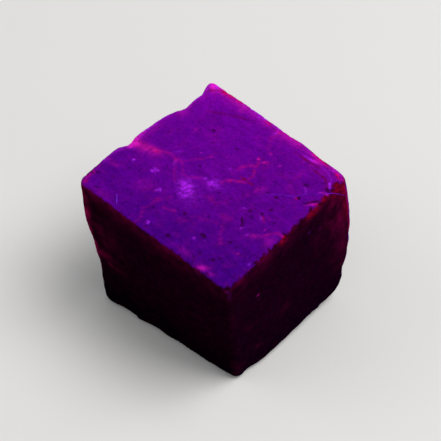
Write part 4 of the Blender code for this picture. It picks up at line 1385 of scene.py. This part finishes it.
def smooth_line(places, steps):
    """A smooth line through the places, with this many steps between each two."""
    points = np.array(places, float)
    padded = np.vstack([2 * points[0] - points[1], points, 2 * points[-1] - points[-2]])
    line = []
    for a, b, c, d in zip(padded, padded[1:], padded[2:], padded[3:]):
        for t in np.arange(steps) / steps:
            bend = (2 * a - 5 * b + 4 * c - d) * t**2 + (3 * b - a - 3 * c + d) * t**3
            line.append(0.5 * (2 * b + (c - a) * t + bend))
    line.append(points[-1])
    return np.array(line)


def laid_on(tree, places, lift):
    """A smooth line through the places laid onto the stone, this far above its surface, in metres."""
    laid = []
    for point in smooth_line(places, FIBRE_STEPS):
        place, normal, _, _ = tree.find_nearest(Vector(point * MM))
        laid.append(place + normal * lift)
    return laid


def tube(bm, centres, radius):
    """A round thread along the centres, thinner at both ends."""
    rings = []
    last = len(centres) - 1
    for i, centre in enumerate(centres):
        ahead = (centres[min(i + 1, last)] - centres[max(i - 1, 0)]).normalized()
        across = ahead.cross(Vector(NEVER_ALONG)).normalized()
        upright = across.cross(ahead)
        from_tip = min(1.0, min(i, last - i) / (TIP_LENGTH * last))
        size = radius * (TIP_WIDTH + (1.0 - TIP_WIDTH) * from_tip)
        turns = [2.0 * math.pi * k / FIBRE_SIDES for k in range(FIBRE_SIDES)]
        ring = [centre + size * (math.cos(a) * across + math.sin(a) * upright) for a in turns]
        rings.append([bm.verts.new(place) for place in ring])
    for ring, following in zip(rings, rings[1:]):
        for k in range(FIBRE_SIDES):
            n = (k + 1) % FIBRE_SIDES
            bm.faces.new((ring[k], ring[n], following[n], following[k]))
    bm.faces.new(tuple(reversed(rings[0])))
    bm.faces.new(tuple(rings[-1]))


def finish_mesh(name, bm, material):
    """Turns the working mesh into a shaded object."""
    bmesh.ops.recalc_face_normals(bm, faces=bm.faces[:])
    mesh = bpy.data.meshes.new(name)
    bm.to_mesh(mesh)
    bm.free()
    mesh.shade_smooth()
    mesh.materials.append(material)
    piece = bpy.data.objects.new(name, mesh)
    bpy.context.scene.collection.objects.link(piece)
    return piece


def stone_tree():
    """The stone's surface, to lay things on."""
    stone = bpy.data.objects.get("ruby_stone")
    if stone is None:
        raise RuntimeError("build the stone first")
    mesh = stone.data
    return BVHTree.FromPolygons([v.co[:] for v in mesh.vertices], [p.vertices[:] for p in mesh.polygons])


class RUBY_OT_stone(bpy.types.Operator):
    """Build the stone, its relief and its finish"""

    bl_idname = "ruby_cube.build_stone"
    bl_label = "Build Stone"

    def execute(self, context):
        settings = context.scene.ruby_stone
        mesh = stone_mesh("ruby_stone", settings)
        mesh.materials.append(stone_material("ruby_sides", settings, SIDE_GLOSS))
        mesh.materials.append(stone_material("ruby_top", settings, TOP_GLOSS))
        stone = bpy.data.objects.new("ruby_stone", mesh)
        context.scene.collection.objects.link(stone)
        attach(stone, BODY)
        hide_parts(NODE)
        return {"FINISHED"}


class RUBY_OT_lint(bpy.types.Operator):
    """Lay the lint fibre, threads and dust on the stone"""

    bl_idname = "ruby_cube.lay_lint"
    bl_label = "Lay Lint and Dust"

    def execute(self, context):
        settings = context.scene.ruby_lint
        tree = stone_tree()
        radius = 0.5 * settings.fibre_width
        bm = bmesh.new()
        tube(bm, laid_on(tree, FIBRE, FIBRE_LIFT * radius), radius)
        fibre = finish_mesh("lint_fibre", bm, fibre_material("lint", settings.fibre_glow_colour))
        bm = bmesh.new()
        for places, width in THREADS:
            thread = 0.5 * width * MM
            tube(bm, laid_on(tree, places, THREAD_LIFT * thread), thread)
        threads = finish_mesh("lint_threads", bm, fibre_material("threads", settings.thread_glow_colour))
        bm = bmesh.new()
        for x, y, half in GRAINS:
            place, normal, _, _ = tree.find_nearest(Vector((x, y, HEIGHT)) * MM)
            size = half * MM
            made = bmesh.ops.create_icosphere(bm, subdivisions=2, radius=size)
            for vertex in made["verts"]:
                bumps = noise.noise(vertex.co / (GRAIN_BUMPS * size) + Vector((x, y, 0.0)))
                uneven = GRAIN_SIZE * (1.0 + GRAIN_UNEVEN * bumps) * vertex.co
                vertex.co = place + uneven + normal * GRAIN_LIFT * size
        dust = finish_mesh("dust_grains", bm, fibre_material("dust", settings.dust_glow_colour))
        for piece in (fibre, threads, dust):
            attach(piece, BODY)
        return {"FINISHED"}


# Stage.

EYE = (56.771, -58.932, 112.153)  # where the camera stands
BACK = (0.44139, -0.45966, 0.77064)  # from what it looks at to the camera
RIGHT = (0.72558, 0.68812, -0.00514)  # along its picture's lower edge
SENSOR = 36.0
SIGHT = (0.005, 20.0)  # nearest and furthest distance it sees, in metres
# Lights: name, place and width in metres, colour.
KEY_LIGHT = ("key", (0.20, 0.16, 0.50), 0.34, (1.0, 0.99, 0.98))
FILL_LIGHT = ("fill", (-0.40, -0.30, 0.40), 0.40, (0.98, 0.99, 1.0))
LIGHT_AIM = (0.0, 0.0, 0.01)
FLOOR_ROUGHNESS, FLOOR_GLOSS, FLOOR_PARTS = 0.9, 0.1, 8


def add_area_light(name, place, size, colour, power):
    """A square soft light at the place, turned towards the stone."""
    light = bpy.data.lights.new(name, "AREA")
    light.shape = "SQUARE"
    light.size = size
    light.energy = power
    light.color = colour
    lamp = bpy.data.objects.new(name, light)
    lamp.location = place
    lamp.rotation_euler = (Vector(LIGHT_AIM) - Vector(place)).to_track_quat("-Z", "Y").to_euler()
    bpy.context.scene.collection.objects.link(lamp)


class RUBY_OT_stage(bpy.types.Operator):
    """Set the floor, lights and camera"""

    bl_idname = "ruby_cube.set_stage"
    bl_label = "Set Stage"

    def execute(self, context):
        scene = context.scene
        settings = scene.ruby_stage
        bm = bmesh.new()
        half = 0.5 * settings.floor_size
        bmesh.ops.create_grid(bm, x_segments=FLOOR_PARTS, y_segments=FLOOR_PARTS, size=half)
        material, _, shader = new_material("floor")
        shader.inputs["Base Color"].default_value = (*settings.floor_colour, 1.0)
        shader.inputs["Roughness"].default_value = FLOOR_ROUGHNESS
        shader.inputs["Specular IOR Level"].default_value = FLOOR_GLOSS
        finish_mesh("floor", bm, material)

        add_area_light(*KEY_LIGHT, settings.key_power)
        add_area_light(*FILL_LIGHT, settings.fill_power)
        world = bpy.data.worlds.new("sky")
        world.use_nodes = True
        backdrop = world.node_tree.nodes["Background"]
        backdrop.inputs["Color"].default_value = (1.0, 1.0, 1.0, 1.0)
        backdrop.inputs["Strength"].default_value = settings.sky
        scene.world = world

        lens = bpy.data.cameras.new("camera")
        lens.sensor_width = SENSOR
        lens.lens = settings.lens
        lens.clip_start, lens.clip_end = SIGHT
        camera = bpy.data.objects.new("camera", lens)
        back, right = Vector(BACK).normalized(), Vector(RIGHT).normalized()
        turned = Matrix((right, back.cross(right), back)).transposed()
        camera.matrix_world = Matrix.Translation(Vector(EYE) * MM) @ turned.to_4x4()
        scene.collection.objects.link(camera)
        scene.camera = camera
        scene.view_settings.view_transform = "Standard"
        return {"FINISHED"}


class RUBY_PT_panel(bpy.types.Panel):
    """Lists the stone, its lint and the stage"""

    bl_idname = "RUBY_PT_panel"
    bl_label = "Ruby Cube"
    bl_space_type = "VIEW_3D"
    bl_region_type = "UI"
    bl_category = "Ruby Cube"

    def draw(self, context):
        for operator, settings in (
            (RUBY_OT_stone, context.scene.ruby_stone),
            (RUBY_OT_lint, context.scene.ruby_lint),
            (RUBY_OT_stage, context.scene.ruby_stage),
        ):
            box = self.layout.box()
            for name in settings.__annotations__:
                box.prop(settings, name)
            box.operator(operator.bl_idname)


CLASSES = (RubyStone, RubyLint, RubyStage, RUBY_OT_stone, RUBY_OT_lint, RUBY_OT_stage, RUBY_PT_panel)
SETTINGS = {"ruby_stone": RubyStone, "ruby_lint": RubyLint, "ruby_stage": RubyStage}


def register():
    for item in CLASSES:
        bpy.utils.register_class(item)
    for name, group in SETTINGS.items():
        setattr(bpy.types.Scene, name, PointerProperty(type=group))


def unregister():
    for name in SETTINGS:
        delattr(bpy.types.Scene, name)
    for item in reversed(CLASSES):
        bpy.utils.unregister_class(item)


def main():
    register()
    bpy.ops.ruby_cube.build_stone()
    bpy.ops.ruby_cube.lay_lint()
    bpy.ops.ruby_cube.set_stage()


if __name__ == "__main__":
    main()
